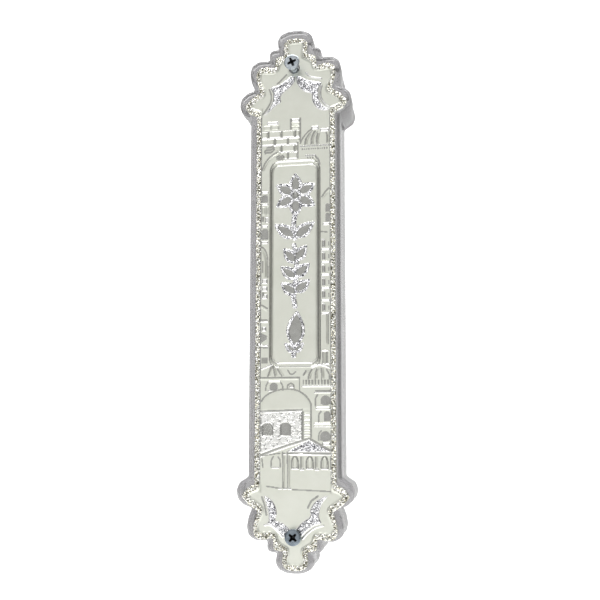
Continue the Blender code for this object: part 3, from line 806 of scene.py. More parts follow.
    s = window(2.1, 9.4, -24.35, -23.1, 0.1)
    sd = sd_box(X[s], Z[s], 2.1, 9.4, -24.35, -23.1)
    H[s] += (0.05 + 0.07 * np.cos(2 * math.pi * X[s] / 0.62) * np.cos(2 * math.pi * (Z[s] + 23.7) / 0.62)) * smooth(-sd / 0.15)
    ZONE[s][(sd < -0.05) & (np.cos(2 * math.pi * X[s] / 0.84) < -0.25)] = LINE
    ridge([(2.0, -24.8), (9.4, -24.8)], 0.40, 0.14, POLISH)

    # --- great dome over the stone wall ---
    dome = curve([(-9.3, -28.8), (-8.4, -27.6), (-6.8, -26.5), (-4.6, -25.75), (-2.0, -25.5), (0.3, -25.8), (2.2, -26.8), (3.5, -28.1),
                  (4.3, -29.6)])
    ridge(dome, 0.34, -0.16)
    s = window(-9.4, 4.4, -38.4, -25.4)
    crown = sd_polygon(X[s], Z[s], dome + [(4.3, -31.0), (-9.4, -31.3)])
    H[s] += 0.05 * smooth(-crown / 0.6)
    ridge([(4.3, -29.5), (4.3, -38.2)], 0.355, -0.16)
    ridge([(-9.3, -31.35), (1.9, -31.0)], 0.326, -0.16)
    ridge([(-9.3, -31.75), (1.9, -31.4)], 0.34, 0.10, POLISH)
    ridge([(2.1, -31.6), (2.1, -39.0)], 0.37, -0.17)
    for k in range(11):
        z = -31.7 - 0.66 * k
        ridge([(2.55, z), (3.9, z)], 0.36, 0.12, POLISH if k % 2 else None)
    wall = [(-9.4, -31.9), (1.85, -31.6), (1.85, -39.0), (-4.9, -41.0), (-9.4, -42.6)]
    s = window(*box_of(wall))
    sd = sd_polygon(X[s], Z[s], wall)
    stones = 0.13 * smooth((STONE_GAP[s] - 0.02) / 0.14) + STONE_H[s]
    H[s] = np.where(sd < 0, stones * smooth(-sd / 0.2), H[s])
    ZONE[s][(sd < 0) & (STONE_GAP[s] > 0.05)] = POLISH
    for x0, x1, z0, z1 in ((-8.75, -6.15, -37.8, -34.5), (-3.85, -1.35, -37.8, -34.4)):
        r = 0.9
        w = window(x0, x1, z0, z1)
        frame_sd = np.minimum(sd_box(X[w], Z[w], x0, x1, z0, z1 - r), sd_box(X[w], Z[w], x0 + r, x1 - r, z0, z1) - 0.0)
        for cx2 in (x0 + r, x1 - r):
            frame_sd = np.minimum(frame_sd, np.hypot(X[w] - cx2, Z[w] - (z1 - r)) - r)
        H[w] = np.where(frame_sd < 0.25, 0.20 * smooth(frame_sd / 0.25), H[w])
        pane = frame_sd < -0.02
        if x0 < -6:
            bars = np.cos(2 * math.pi * (X[w] + 0.6 * Z[w]) / 0.56) > 0.1
            ZONE[w][pane & bars] = SATIN
            ZONE[w][pane & ~bars] = MIRROR
        else:
            ZONE[w][pane] = MIRROR
        H[w] = np.where(frame_sd < 0, 0.0, H[w])

    # --- tall house on the right ---
    ridge([(5.6, -26.0), (9.4, -26.0)], 0.326, -0.15)
    ridge([(5.3, -26.5), (9.4, -26.5)], 0.40, 0.14, POLISH)
    ridge(curve([(6.0, -27.1), (5.5, -28.0), (5.4, -29.9)]), 0.37, -0.16)
    arch(6.85, 9.45, -29.5, -27.3, 0.13)
    block(5.5, 9.4, -31.1, -30.2, 0.22, 0.25, POLISH)
    ridge(curve([(6.9, -31.5), (6.35, -32.4), (6.3, -34.3)]), 0.326, -0.15)
    arch(7.7, 9.45, -34.1, -31.5, 0.14)
    ridge([(5.2, -34.75), (9.4, -34.75)], 0.44, 0.16, POLISH)
    ridge([(5.2, -35.45), (9.4, -35.45)], 0.44, 0.16, POLISH)
    arch(6.7, 9.4, -39.1, -36.7, 0.13)
    ridge(curve([(7.0, -36.6), (6.4, -37.4), (6.35, -39.1)]), 0.326, -0.15)
    block(7.3, 9.4, -40.6, -39.6, 0.22, 0.25, POLISH)

    # --- gabled hall in front ---
    ridge([(3.7, -38.45), (-4.9, -41.25), (-9.3, -42.95)], 0.326, -0.16)
    ridge([(3.7, -38.95), (-4.8, -41.75), (-9.3, -43.45)], 0.36, 0.13, POLISH)
    ridge([(3.7, -38.45), (9.45, -41.7)], 0.326, -0.16)
    ridge([(3.7, -38.95), (9.45, -42.2)], 0.34, 0.13, POLISH)
    glitter_patch([(3.65, -39.15), (-2.3, -42.1), (9.35, -42.1)], 0.14, 0.12, FINE)
    ridge([(-1.2, -42.45), (9.45, -42.45)], 0.34, -0.16)
    ridge([(-3.4, -42.75), (9.45, -42.9)], 0.34, 0.12, POLISH)
    ridge([(-9.3, -43.2), (-4.1, -42.5)], 0.28, -0.12)
    for a in (-1.0, 2.95, 6.9):
        c = curve([(a, -46.2), (a + 0.02, -44.6), (a + 0.45, -43.6), (a + 0.95, -43.35), (a + 1.5, -43.7), (a + 1.85, -44.7), (a + 1.95, -46.2)])
        ridge(c, 0.296, -0.14)
        ridge([(a + 0.95 + (x - a - 0.95) * 0.6, z - 0.15) for x, z in c], 0.40, 0.12)
        ridge([(a + 2.5, -43.5), (a + 2.5, -46.2)], 0.311, -0.14)
        ridge([(a + 2.95, -43.5), (a + 2.95, -46.2)], 0.40, 0.10)
        ridge([(a + 0.3, -46.55), (a + 1.7, -46.55)], 0.55, 0.16, POLISH)
        dots(a + 2.6, a + 2.7, -46.7, 0.5, 0.6, 0.16, zone=POLISH)
    ridge([(-9.0, -43.8), (-8.7, -46.2)], 0.311, -0.14)
    ridge(curve([(-6.5, -46.1), (-6.4, -44.4), (-5.9, -43.4)]), 0.311, -0.14)
    ridge(curve([(-4.6, -43.5), (-4.1, -44.3), (-4.0, -46.1)]), 0.311, -0.14)
    ridge([(-6.1, -46.35), (-4.5, -46.35)], 0.4, 0.13, POLISH)
    for x in (-3.35, -2.05):
        ridge([(x, -42.2), (x + 0.03, -51.4)], 0.37, -0.17)
    for x in (-2.95, -1.6):
        ridge([(x, -42.4), (x + 0.03, -51.4)], 0.36, 0.10)
    for x in (-4.25, -2.95, -1.75):
        dots(x, x + 0.1, -51.75, 0.5, 0.40, 0.22, zone=POLISH)
    ridge([(-0.7, -51.95), (9.3, -52.35)], 0.28, -0.13)
    ridge([(-7.6, -51.2), (-4.6, -51.6)], 0.3, -0.07)


def ornaments():
    """Three mirror-bright botanical ornaments with a milled, sparkling edge, where the panel is decorated."""
    cx = -0.15

    def stamp(s, sd, edge=0.36):
        """Flat polished inside, a granulated bead round it."""
        t = np.clip(1 - (np.abs(sd + 0.02) / edge) ** 2, 0, 1)
        H[s] += 0.06 * smooth(t * 2) + np.where(t > 0.12, FINE[s] * 1.15 * smooth(t * 3), 0)
        ring = (sd > -edge * 0.75) & (sd < edge * 0.75)
        H[s] -= 0.05 * smooth((-sd - edge * 0.4) / 0.2)
        # the polished inside takes the dark mirror silver: painted dark reflection
        ZONE[s][sd < -edge * 0.4] = MIRROR
        ZONE[s][ring] = CUT_COOL

    def petal(px, pz, ox, oz, length, width, ang):
        """Pointed leaf from (ox, oz) along ang."""
        c, sn = math.cos(ang), math.sin(ang)
        u = (px - ox) * c + (pz - oz) * sn
        v = -(px - ox) * sn + (pz - oz) * c
        t = np.clip(u / length, 0, 1)
        w = width * np.sin(math.pi * np.power(t, 0.8)) ** 0.85
        side = np.abs(v) - w
        end = np.maximum(-u, u - length)
        return np.maximum(side * 0.9, end)

    # flower with a stem and two leaves
    s = window(cx - 6.2, cx + 6.2, 14.5, 35.0, 0.2)
    px, pz = X[s], Z[s]
    fx, fz = cx + 0.2, 27.6
    sd = np.full(px.shape, 9.0)
    for k in range(6):
        a = math.radians(90 + 60 * k)
        sd = np.minimum(sd, petal(px, pz, fx + 0.9 * math.cos(a), fz + 0.9 * math.sin(a), 4.9, 1.42, a))
    stamp(s, sd)
    core = np.hypot(px - fx, pz - fz) - 1.3
    stamp(s, core)
    sd = np.full(px.shape, 9.0)
    sd = np.minimum(sd, petal(px, pz, cx - 0.2, 16.0, 6.1, 1.45, math.radians(146)))
    sd = np.minimum(sd, petal(px, pz, cx + 0.2, 16.0, 6.1, 1.45, math.radians(38)))
    sd = np.minimum(sd, sd_line(px, pz, curve([(fx - 0.1, 22.4), (cx - 0.3, 19.4), (cx, 15.6)])) - 0.36)
    stamp(s, sd)

    # branch with paired leaves
    s = window(cx - 5.2, cx + 5.2, -4.0, 14.8, 0.2)
    px, pz = X[s], Z[s]
    stem = curve([(cx - 0.2, 13.6), (cx + 0.5, 9.5), (cx + 0.3, 4.5), (cx - 0.3, -0.5), (cx + 0.1, -3.2)])
    sd = sd_line(px, pz, stem) - 0.34
    for z0, ang, ln in ((9.6, 52, 4.6), (9.0, 131, 4.6), (5.2, 40, 4.7), (4.6, 142, 4.8), (0.9, 38, 4.6), (0.3, 143, 4.6)):
        sd = np.minimum(sd, petal(px, pz, cx + 0.2, z0, ln, 1.3, math.radians(ang)))
    stamp(s, sd)

    # bud on a short stalk
    s = window(cx - 3.2, cx + 3.2, -17.4, -4.2, 0.2)
    px, pz = X[s], Z[s]
    sd = petal(px, pz, cx, -13.6, 8.8, 2.15, math.radians(86))
    sd = np.minimum(sd, sd_line(px, pz, [(cx, -12.8), (cx - 0.25, -16.6)]) - 0.36)
    sd = np.minimum(sd, petal(px, pz, cx - 0.1, -15.4, 3.0, 0.8, math.radians(140)))
    sd = np.minimum(sd, petal(px, pz, cx - 0.1, -15.4, 3.0, 0.8, math.radians(42)))
    stamp(s, sd)


def arabesques():
    """Swept glitter bands that meet in a point beside each screw."""
    top_left = [(-0.3, 61.9), (-1.4, 61.9), (-2.6, 61.0), (-4.6, 59.6), (-7.0, 58.9), (-6.35, 57.2), (-6.4, 55.2), (-7.2, 53.3), (-9.0, 50.9),
                (-7.2, 52.2), (-5.6, 53.6), (-4.1, 54.6), (-4.3, 56.0), (-3.4, 57.3), (-1.4, 58.9), (-0.2, 60.4)]
    top_right = [(0.2, 61.9), (1.6, 61.6), (3.2, 60.6), (5.4, 60.0), (7.3, 59.4), (6.6, 58.0), (6.4, 56.4), (6.7, 54.5), (7.9, 52.7),
                 (9.6, 51.7), (7.9, 51.3), (6.0, 52.2), (4.7, 54.3), (4.5, 56.3), (2.6, 57.1), (1.2, 58.4), (0.2, 60.2)]
    for p in (top_left, top_right):
        glitter_patch(curve(p + [p[0]], 3)[:-1], 0.16, 0.36)
    bottom_left = [(-8.4, -53.7), (-7.7, -55.9), (-7.2, -58.2), (-7.0, -60.2), (-7.4, -60.8), (-5.5, -61.9), (-3.6, -63.6), (-2.4, -64.6),
                   (-1.0, -63.4), (-1.8, -61.9), (-3.5, -60.6), (-5.3, -59.9), (-4.9, -58.4), (-5.2, -56.6), (-6.1, -55.0), (-7.4, -54.0)]
    bottom_right = [(8.8, -53.4), (6.9, -54.0), (5.0, -55.4), (4.0, -57.4), (4.0, -58.9), (2.0, -60.3), (0.6, -61.8), (-0.6, -63.2), (0.4, -64.4),
                    (1.6, -64.2), (3.1, -62.6), (5.0, -61.2), (6.9, -60.6), (6.3, -59.0), (6.6, -56.9), (7.3, -55.2)]
    for p in (bottom_left, bottom_right):
        glitter_patch(curve(p + [p[0]], 3)[:-1], 0.16, 0.36)
    # polished sweeps beside the bands
    ridge(curve([(-2.6, 62.4), (-4.2, 60.7), (-5.2, 60.0)]), 0.42, -0.14)
    ridge(curve([(-7.4, 58.4), (-6.9, 56.6), (-7.1, 54.6), (-8.4, 52.4), (-9.6, 51.0)]), 0.42, -0.14)
    ridge(curve([(3.0, 62.6), (4.3, 61.3), (7.2, 60.6)]), 0.5, 0.12, POLISH)
    ridge(curve([(7.3, 58.6), (6.9, 56.6), (7.2, 54.8), (8.4, 53.0), (9.9, 52.1)]), 0.5, 0.12, POLISH)
    ridge(curve([(-8.9, -54.0), (-8.1, -56.4), (-7.7, -58.6)]), 0.46, -0.15)
    ridge(curve([(-8.1, -61.3), (-6.6, -61.2), (-4.9, -62.4), (-3.3, -64.2)]), 0.5, 0.13, POLISH)
    ridge(curve([(6.0, -53.6), (4.3, -54.9), (3.4, -56.6)]), 0.46, -0.12)
    ridge(curve([(7.4, -61.1), (5.2, -61.8), (3.3, -63.2), (2.0, -64.6)]), 0.46, 0.12, POLISH)


def border():
    """The faceted band between the field edge and the outline."""
    global H
    straight = smooth((51.0 - np.abs(Z)) / 1.2)
    inner_slope = smooth((d_field + 0.02) / 0.30)
    outer_slope = smooth(d_in / 0.22)
    on = d_field > -0.02
    band = 0.20 + GLITTER
    # milled notches along both sides of the straight runs, and a chain of lozenges between them
    u = (Z % 1.2) / 1.2
    notch = np.exp(-((d_in - 0.30) / 0.11) ** 2) * smooth((np.abs(u - 0.5) - 0.12) / 0.12)
    notch2 = np.exp(-((d_field - 0.34) / 0.10) ** 2) * smooth((0.38 - np.abs(u - 0.5)) / 0.12)
    chain = np.clip(1 - (np.abs(u - 0.5) / 0.42 + np.abs(d_in - 0.74) / 0.36), 0, 1)
    band = band - straight * (0.13 * notch + 0.08 * notch2) + straight * 0.13 * chain
    h = np.clip(band, 0.02, 0.40) * inner_slope * (0.35 + 0.65 * outer_slope)
    # round the finials the inner edge is a smooth bead
    bead = (1 - straight) * np.clip(1 - ((d_field - 0.14) / 0.24) ** 2, 0, 1)
    h = np.where(on, h, 0.0)
    H = np.where(on, np.where(bead > 0, np.maximum(h * (1 - 0.5 * bead), 0.17 * bead), h), np.maximum(H, 0.15 * bead))
    ZONE[on] = CUT
    ZONE[(bead > 0.25)] = SATIN
    ZONE[on & (d_field < 0.12) & (straight > 0.5)] = POLISH
    H = np.minimum(H, 0.398)


def plaque_mesh(slots):
    skyline()
    ornaments()
    arabesques()
    border()
    hole = np.minimum(np.hypot(X - hole_x, Z - HOLE_Z), np.hypot(X - hole_x, Z + HOLE_Z)) - 1.6
    # a slight dish where each screw has drawn the sheet in
    H[:] = np.where(hole < 0.9, H * smooth(hole / 0.9), H)
    ZONE[hole < 0.5] = SATIN
    M = np.minimum(d_in, hole)
    gx, gz = np.gradient(M, CELL)
    g2 = np.maximum(gx * gx + gz * gz, 0.25)
    snap = np.abs(M) < 0.34 * CELL
    PX = np.where(snap, X - M * gx / g2, X)
    PZ = np.where(snap, Z - M * gz / g2, Z)
    M = np.where(snap, 0.0, M)

    inside = M > 0
    solid = M >= 0
    c_all = solid[:-1, :-1] & solid[1:, :-1] & solid[:-1, 1:] & solid[1:, 1:]
    c_any = inside[:-1, :-1] | inside[1:, :-1] | inside[:-1, 1:] | inside[1:, 1:]
    zone = np.maximum(np.maximum(ZONE[:-1, :-1], ZONE[1:, :-1]), np.maximum(ZONE[:-1, 1:], ZONE[1:, 1:]))
    lo = np.minimum(np.minimum(H[:-1, :-1], H[1:, :-1]), np.minimum(H[:-1, 1:], H[1:, 1:]))
    hi = np.maximum(np.maximum(H[:-1, :-1], H[1:, :-1]), np.maximum(H[:-1, 1:], H[1:, 1:]))
    near = snap[:-1, :-1] | snap[1:, :-1] | snap[:-1, 1:] | snap[1:, 1:]
    whole = c_all & c_any & ~near
    flat = whole & (hi - lo < 1e-5)

    level = np.zeros(zone.shape, dtype=np.int8)  # 0: fine cell, else the block size it belongs to
    blocks = []
    for size in (8, 4, 2):
        ni, nj = NX // size, NZ // size
        f = flat.reshape(ni, size, nj, size).all(axis=(1, 3))
        z4 = zone.reshape(ni, size, nj, size)
        same = z4.max(axis=(1, 3)) == z4.min(axis=(1, 3))
        hh = hi.reshape(ni, size, nj, size)
        level_h = hh.max(axis=(1, 3)) - lo.reshape(ni, size, nj, size).min(axis=(1, 3)) < 1e-5
        free = (level.reshape(ni, size, nj, size) == 0).all(axis=(1, 3))
        take = f & level_h
        if size == 2:
            # sloping cells that lie in one plane within 3 microns
            a, b, c, d = H[0:-1:2, 0:-1:2], H[2::2, 0:-1:2], H[0:-1:2, 2::2], H[2::2, 2::2]
            bend = np.maximum.reduce([
                np.abs(H[1::2, 0:-1:2] - (a + b) / 2), np.abs(H[1::2, 2::2] - (c + d) / 2),
                np.abs(H[0:-1:2, 1::2] - (a + c) / 2), np.abs(H[2::2, 1::2] - (b + d) / 2),
                np.abs(H[1::2, 1::2] - (a + b + c + d) / 4)])
            take = take | ((bend < 0.003) & whole.reshape(ni, 2, nj, 2).all(axis=(1, 3)))
        take = take & same & free
        for i, j in zip(*np.nonzero(take)):
            blocks.append((int(i) * size, int(j) * size, size))
        level = np.where(np.repeat(np.repeat(take, size, 0), size, 1), size, level)

    used = np.zeros(X.shape, dtype=bool)
    fi, fj = np.nonzero((level == 0) & c_all & c_any)
    for a, b in ((0, 0), (1, 0), (1, 1), (0, 1)):
        used[fi + a, fj + b] = True
    part_i, part_j = np.nonzero((level == 0) & ~c_all & c_any)
    for i, j in zip(part_i, part_j):
        for a, b in ((0, 0), (1, 0), (1, 1), (0, 1)):
            if solid[i + a, j + b]:
                used[i + a, j + b] = True
    for i, j, size in blocks:
        used[i, j] = used[i + size, j] = used[i, j + size] = used[i + size, j + size] = True

    ids = -np.ones(X.shape, dtype=int)
    verts = []

    def vid(i, j):
        if ids[i, j] < 0:
            ids[i, j] = len(verts)
            verts.append((PX[i, j], -H[i, j], PZ[i, j]))
        return int(ids[i, j])

    faces, mats = [], []
    for i, j in zip(fi.tolist(), fj.tolist()):
        faces.append((vid(i, j), vid(i + 1, j), vid(i + 1, j + 1), vid(i, j + 1)))
        mats.append(int(zone[i, j]))
    for i, j, size in blocks:
        rim = []
        for k in range(size):
            if k == 0 or used[i + k, j]:
                rim.append((i + k, j))
        for k in range(size):
            if k == 0 or used[i + size, j + k]:
                rim.append((i + size, j + k))
        for k in range(size):
            if k == 0 or used[i + size - k, j + size]:
                rim.append((i + size - k, j + size))
        for k in range(size):
            if k == 0 or used[i, j + size - k]:
                rim.append((i, j + size - k))
        z = int(zone[i, j])
        if len(rim) == 4:
            faces.append(tuple(vid(*r) for r in rim))
            mats.append(z)
        else:
            c = vid(i + size // 2, j + size // 2)
            n = len(rim)
            for k in range(n):
                faces.append((c, vid(*rim[k]), vid(*rim[(k + 1) % n])))
                mats.append(z)
    crossing = {}

    def edge_vertex(p, q):
        key = (p, q) if p < q else (q, p)
        if key not in crossing:
            a, b = key
            t = M[a] / (M[a] - M[b])
            crossing[key] = len(verts)
            verts.append((PX[a] + (PX[b] - PX[a]) * t, -(H[a] + (H[b] - H[a]) * t), PZ[a] + (PZ[b] - PZ[a]) * t))
        return crossing[key]

    for i, j in zip(part_i.tolist(), part_j.tolist()):
        ring = [(i, j), (i + 1, j), (i + 1, j + 1), (i, j + 1)]
        poly = []
        for k in range(4):
            p, q = ring[k], ring[(k + 1) % 4]
            if M[p] >= 0:
                poly.append(vid(*p))
            if (M[p] > 0 and M[q] < 0) or (M[p] < 0 and M[q] > 0):
                poly.append(edge_vertex(p, q))
        if len(poly) >= 3:
            faces.append(tuple(poly))
            mats.append(int(zone[i, j]))

    mesh = bpy.data.meshes.new("plaque_relief")
    v = np.array(verts)
    mesh.from_pydata([(x + PLAQUE_DX, PLAQUE_FIELD_Y + y, z + PLAQUE_DZ) for x, y, z in v], [], faces)
    mesh.polygons.foreach_set("material_index", mats)
    bm = bmesh.new()
    bm.from_mesh(mesh)
    rim = [e for e in bm.edges if len(e.link_faces) == 1]
    grown = bmesh.ops.extrude_edge_only(bm, edges=rim)
    low = [g for g in grown["geom"] if isinstance(g, bmesh.types.BMVert)]
    for p in low:
        p.co.y = PLAQUE_BACK_Y
    sides = [g for g in grown["geom"] if isinstance(g, bmesh.types.BMFace)]
    for f in sides:
        f.material_index = 4
    low_edges = [e for e in bm.edges if len(e.link_faces) == 1]
    filled = bmesh.ops.triangle_fill(bm, edges=low_edges, use_beauty=False, use_dissolve=False, normal=(0, 1, 0))
    for g in filled["geom"]:
        if isinstance(g, bmesh.types.BMFace):
            g.material_index = 4
    bmesh.ops.recalc_face_normals(bm, faces=bm.faces)
    bmesh.ops.transform(bm, matrix=Matrix.Scale(MM, 4), verts=bm.verts)
    bm.to_mesh(mesh)
    bm.free()
    mesh.shade_smooth()
    mesh.set_sharp_from_angle(angle=math.radians(38))
    idx = np.empty(len(mesh.polygons), dtype=np.int32)
    mesh.polygons.foreach_get("material_index", idx)
    mesh.polygons.foreach_set("use_smooth", (idx != CUT) & (idx != CUT_COOL))
    tris = sum(len(p.vertices) - 2 for p in mesh.polygons)
    print("plaque triangles", tris, "blocks", len(blocks), "fine", len(fi))
    return make_object("plaque_relief", mesh, slots)


# ---- case ----
def case_object(mat):
    loop = [(x - 0.006 * nx, z - 0.006 * nz, nx, nz) for x, z, nx, nz in full_outline(CASE_QUARTER, 14)]
    rings = []
    n = 9
    for k in range(n + 1):
        t = math.radians(90.0 * k / n)
        rings.append((offset(loop, -CASE_EDGE_R * (1 - math.sin(t))), -CASE_DEPTH + CASE_EDGE_R * (1 - math.cos(t))))
    rings.append((offset(loop, 0.0), CASE_STEP_Y - 0.05))
    rings.append((offset(loop, -0.07), CASE_STEP_Y + 0.02))
    rings.append((offset(loop, -CASE_STEP), CASE_STEP_Y + 0.15))
    rings.append((offset(loop, -CASE_STEP), -CASE_BACK_CHAMFER))
    rings.append((offset(loop, -CASE_STEP - 0.12), -0.12))
    rings.append((offset(loop, -CASE_STEP - CASE_BACK_CHAMFER), 0.0))
    bm = bmesh.new()
    loft(bm, rings)
    case = finish_bmesh(bm, "case_moulding", [mat], 40.0)
    tools = [([(round_rect(REBATE_HALF_W, REBATE_HALF_L, 2.5), REBATE_Y), (round_rect(REBATE_HALF_W, REBATE_HALF_L, 2.5), -0.2),
               (round_rect(REBATE_HALF_W + 0.25, REBATE_HALF_L + 0.25, 2.75), 0.05), (round_rect(REBATE_HALF_W + 0.25, REBATE_HALF_L + 0.25, 2.75), 2.0)], "DIFFERENCE")]
    ch = round_rect(CHANNEL_HALF_W, CHANNEL_HALF_L, 2.0)
    rings = []
    for k in range(6):
        t = math.radians(90.0 * k / 5)
        d = 0.8 * (1 - math.sin(t))
        rings.append((round_rect(CHANNEL_HALF_W - d, CHANNEL_HALF_L - d, 2.0 - d), CHANNEL_FRONT_Y + 0.8 * (1 - math.cos(t))))
    rings.append((ch, 1.0))
    tools.append((rings, "DIFFERENCE"))
    for z in (HOLE_Z + PLAQUE_DZ, -HOLE_Z + PLAQUE_DZ):
        c, c2 = circle(0.0, z, 1.6, 48), circle(0.0, z, 1.85, 48)
        tools.append(([(c2, -CASE_DEPTH - 1.0), (c2, -CASE_DEPTH - 0.001), (c, -CASE_DEPTH + 0.25), (c, -0.25), (c2, 0.001), (c2, 1.0)], "DIFFERENCE"))
    notch = circle(0.0, -REBATE_HALF_L, 3.0, 48)
    tools.append(([(notch, REBATE_Y + 0.4), (notch, 1.0)], "DIFFERENCE"))
    cut(case, tools)
    case.data.shade_smooth()
    case.data.set_sharp_from_angle(angle=math.radians(32))
    return case


def cover_object(mat):
    hw, hl, r = REBATE_HALF_W - COVER_CLEAR, REBATE_HALF_L - COVER_CLEAR, 2.5 - COVER_CLEAR
    bm = bmesh.new()
    rings = [(round_rect(hw - 0.12, hl - 0.12, r - 0.12), -COVER_T), (round_rect(hw, hl, r), -COVER_T + 0.12), (round_rect(hw, hl, r), -0.3)]
    for k in range(1, 6):
        t = math.radians(90.0 * k / 5)
        d = 0.3 * (1 - math.cos(t))
        rings.append((round_rect(hw - d, hl - d, r - d), -0.3 + 0.3 * math.sin(t)))
    loft(bm, rings)
    cover = finish_bmesh(bm, "cover_strip_back", [mat], 40.0)
    tools = []
    rx = CHANNEL_HALF_W - 0.2
    for side in (-1, 1):
        def span(a, b, e):
            x0, x1 = sorted((side * a, side * b))
            return [(x0, -e), (x1, -e), (x1, e), (x0, e)]
        tools.append(([(span(rx - RIB_T + 0.1, rx - 0.3, 45.3), -COVER_T - RIB_DEPTH), (span(rx - RIB_T, rx - 0.12, 45.7), -COVER_T - RIB_DEPTH + 0.25),
                       (span(rx - RIB_T, rx, 46.0), -COVER_T - RIB_DEPTH + 0.6), (span(rx - RIB_T, rx, 46.0), -COVER_T + 0.6)], "UNION"))
    # grip lines for a thumb at the lower end, sunk in the outer face
    for k in range(6):
        z = -48.0 + k * 1.1
        w = 3.4 - 0.12 * abs(k - 2.5)
        top = [(-w - 0.2, z - 0.36), (w + 0.2, z - 0.36), (w + 0.2, z + 0.36), (-w - 0.2, z + 0.36)]
        low = [(-w, z - 0.16), (w, z - 0.16), (w, z + 0.16), (-w, z + 0.16)]
        tools.append(([(low, -0.28), (top, 0.02), (top, 0.5)], "DIFFERENCE"))
    cut(cover, tools)
    cover.data.shade_smooth()
    cover.data.set_sharp_from_angle(angle=math.radians(35))
    return cover


def adhesive_object(mat):
    loop = full_outline(PLAQUE_QUARTER, 6)
    bm = bmesh.new()
    loft(bm, [(offset(loop, -0.54), SHEET_FRONT_Y), (offset(loop, -0.5), SHEET_FRONT_Y + 0.04), (offset(loop, -0.5), SHEET_FRONT_Y + SHEET_T - 0.04),
              (offset(loop, -0.54), SHEET_FRONT_Y + SHEET_T)], PLAQUE_DX, PLAQUE_DZ)
    sheet = finish_bmesh(bm, "adhesive_sheet", [mat], 40.0)
    tools = []
    for z in (HOLE_Z + PLAQUE_DZ, -HOLE_Z + PLAQUE_DZ):
        c = circle(0.0, z, 1.9, 40)
        tools.append(([(c, SHEET_FRONT_Y - 1.0), (c, SHEET_FRONT_Y + 1.0)], "DIFFERENCE"))
    cut(sheet, tools)
    return sheet


# ---- scroll ----
def rolled(name, mat, r0, pitch, thick, turns, per_turn, start, length, rows, wobble, seed, ripple=0.0):
    """A sheet rolled to a spiral, closed all round, with a little unevenness along its length."""
    rng = np.random.default_rng(seed)
    n = int(round(turns * per_turn))
    k = np.arange(n + 1)
    t = 2 * math.pi * k / per_turn
    ph = rng.uniform(0, 2 * math.pi, 6)
    zrow = np.linspace(-length / 2, length / 2, rows + 1)
    verts, faces = [], []
    for z in zrow:
        bend = wobble * (np.sin(1.7 * t + ph[0] + z * 0.05) * 0.5 + np.sin(0.6 * t + ph[1] - z * 0.09) * 0.5)
        bend = bend + ripple * np.sin(z * 0.8 + ph[2] + 2.0 * t) * (0.3 + 0.7 * (abs(z) / (length / 2)) ** 4)
        taper = np.minimum(1.0, np.minimum(k, n - k) / (per_turn * 0.25) + 0.15)
        r = r0 + pitch * k / per_turn + bend * taper
        c, s = np.cos(t + start), np.sin(t + start)
        for rad in (r, r + thick):
            verts.extend(zip(rad * c, SCROLL_Y + rad * s, np.full(n + 1, z)))
    m = n + 1
    row = 2 * m
    for a in range(rows):
        b0, b1 = a * row, (a + 1) * row
        for q in range(n):
            faces.append((b0 + q, b0 + q + 1, b1 + q + 1, b1 + q))
            faces.append((b0 + m + q, b1 + m + q, b1 + m + q + 1, b0 + m + q + 1))
        faces.append((b0, b1, b1 + m, b0 + m))
        faces.append((b0 + n, b0 + m + n, b1 + m + n, b1 + n))
    for q in range(n):
        faces.append((q, m + q, m + q + 1, q + 1))
        e = rows * row
        faces.append((e + q, e + q + 1, e + m + q + 1, e + m + q))
    mesh = bpy.data.meshes.new(name)
    mesh.from_pydata([tuple(p) for p in verts], [], faces)
    bm = bmesh.new()
    bm.from_mesh(mesh)
    bpy.data.meshes.remove(mesh)
    return finish_bmesh(bm, name, [mat], 50.0)


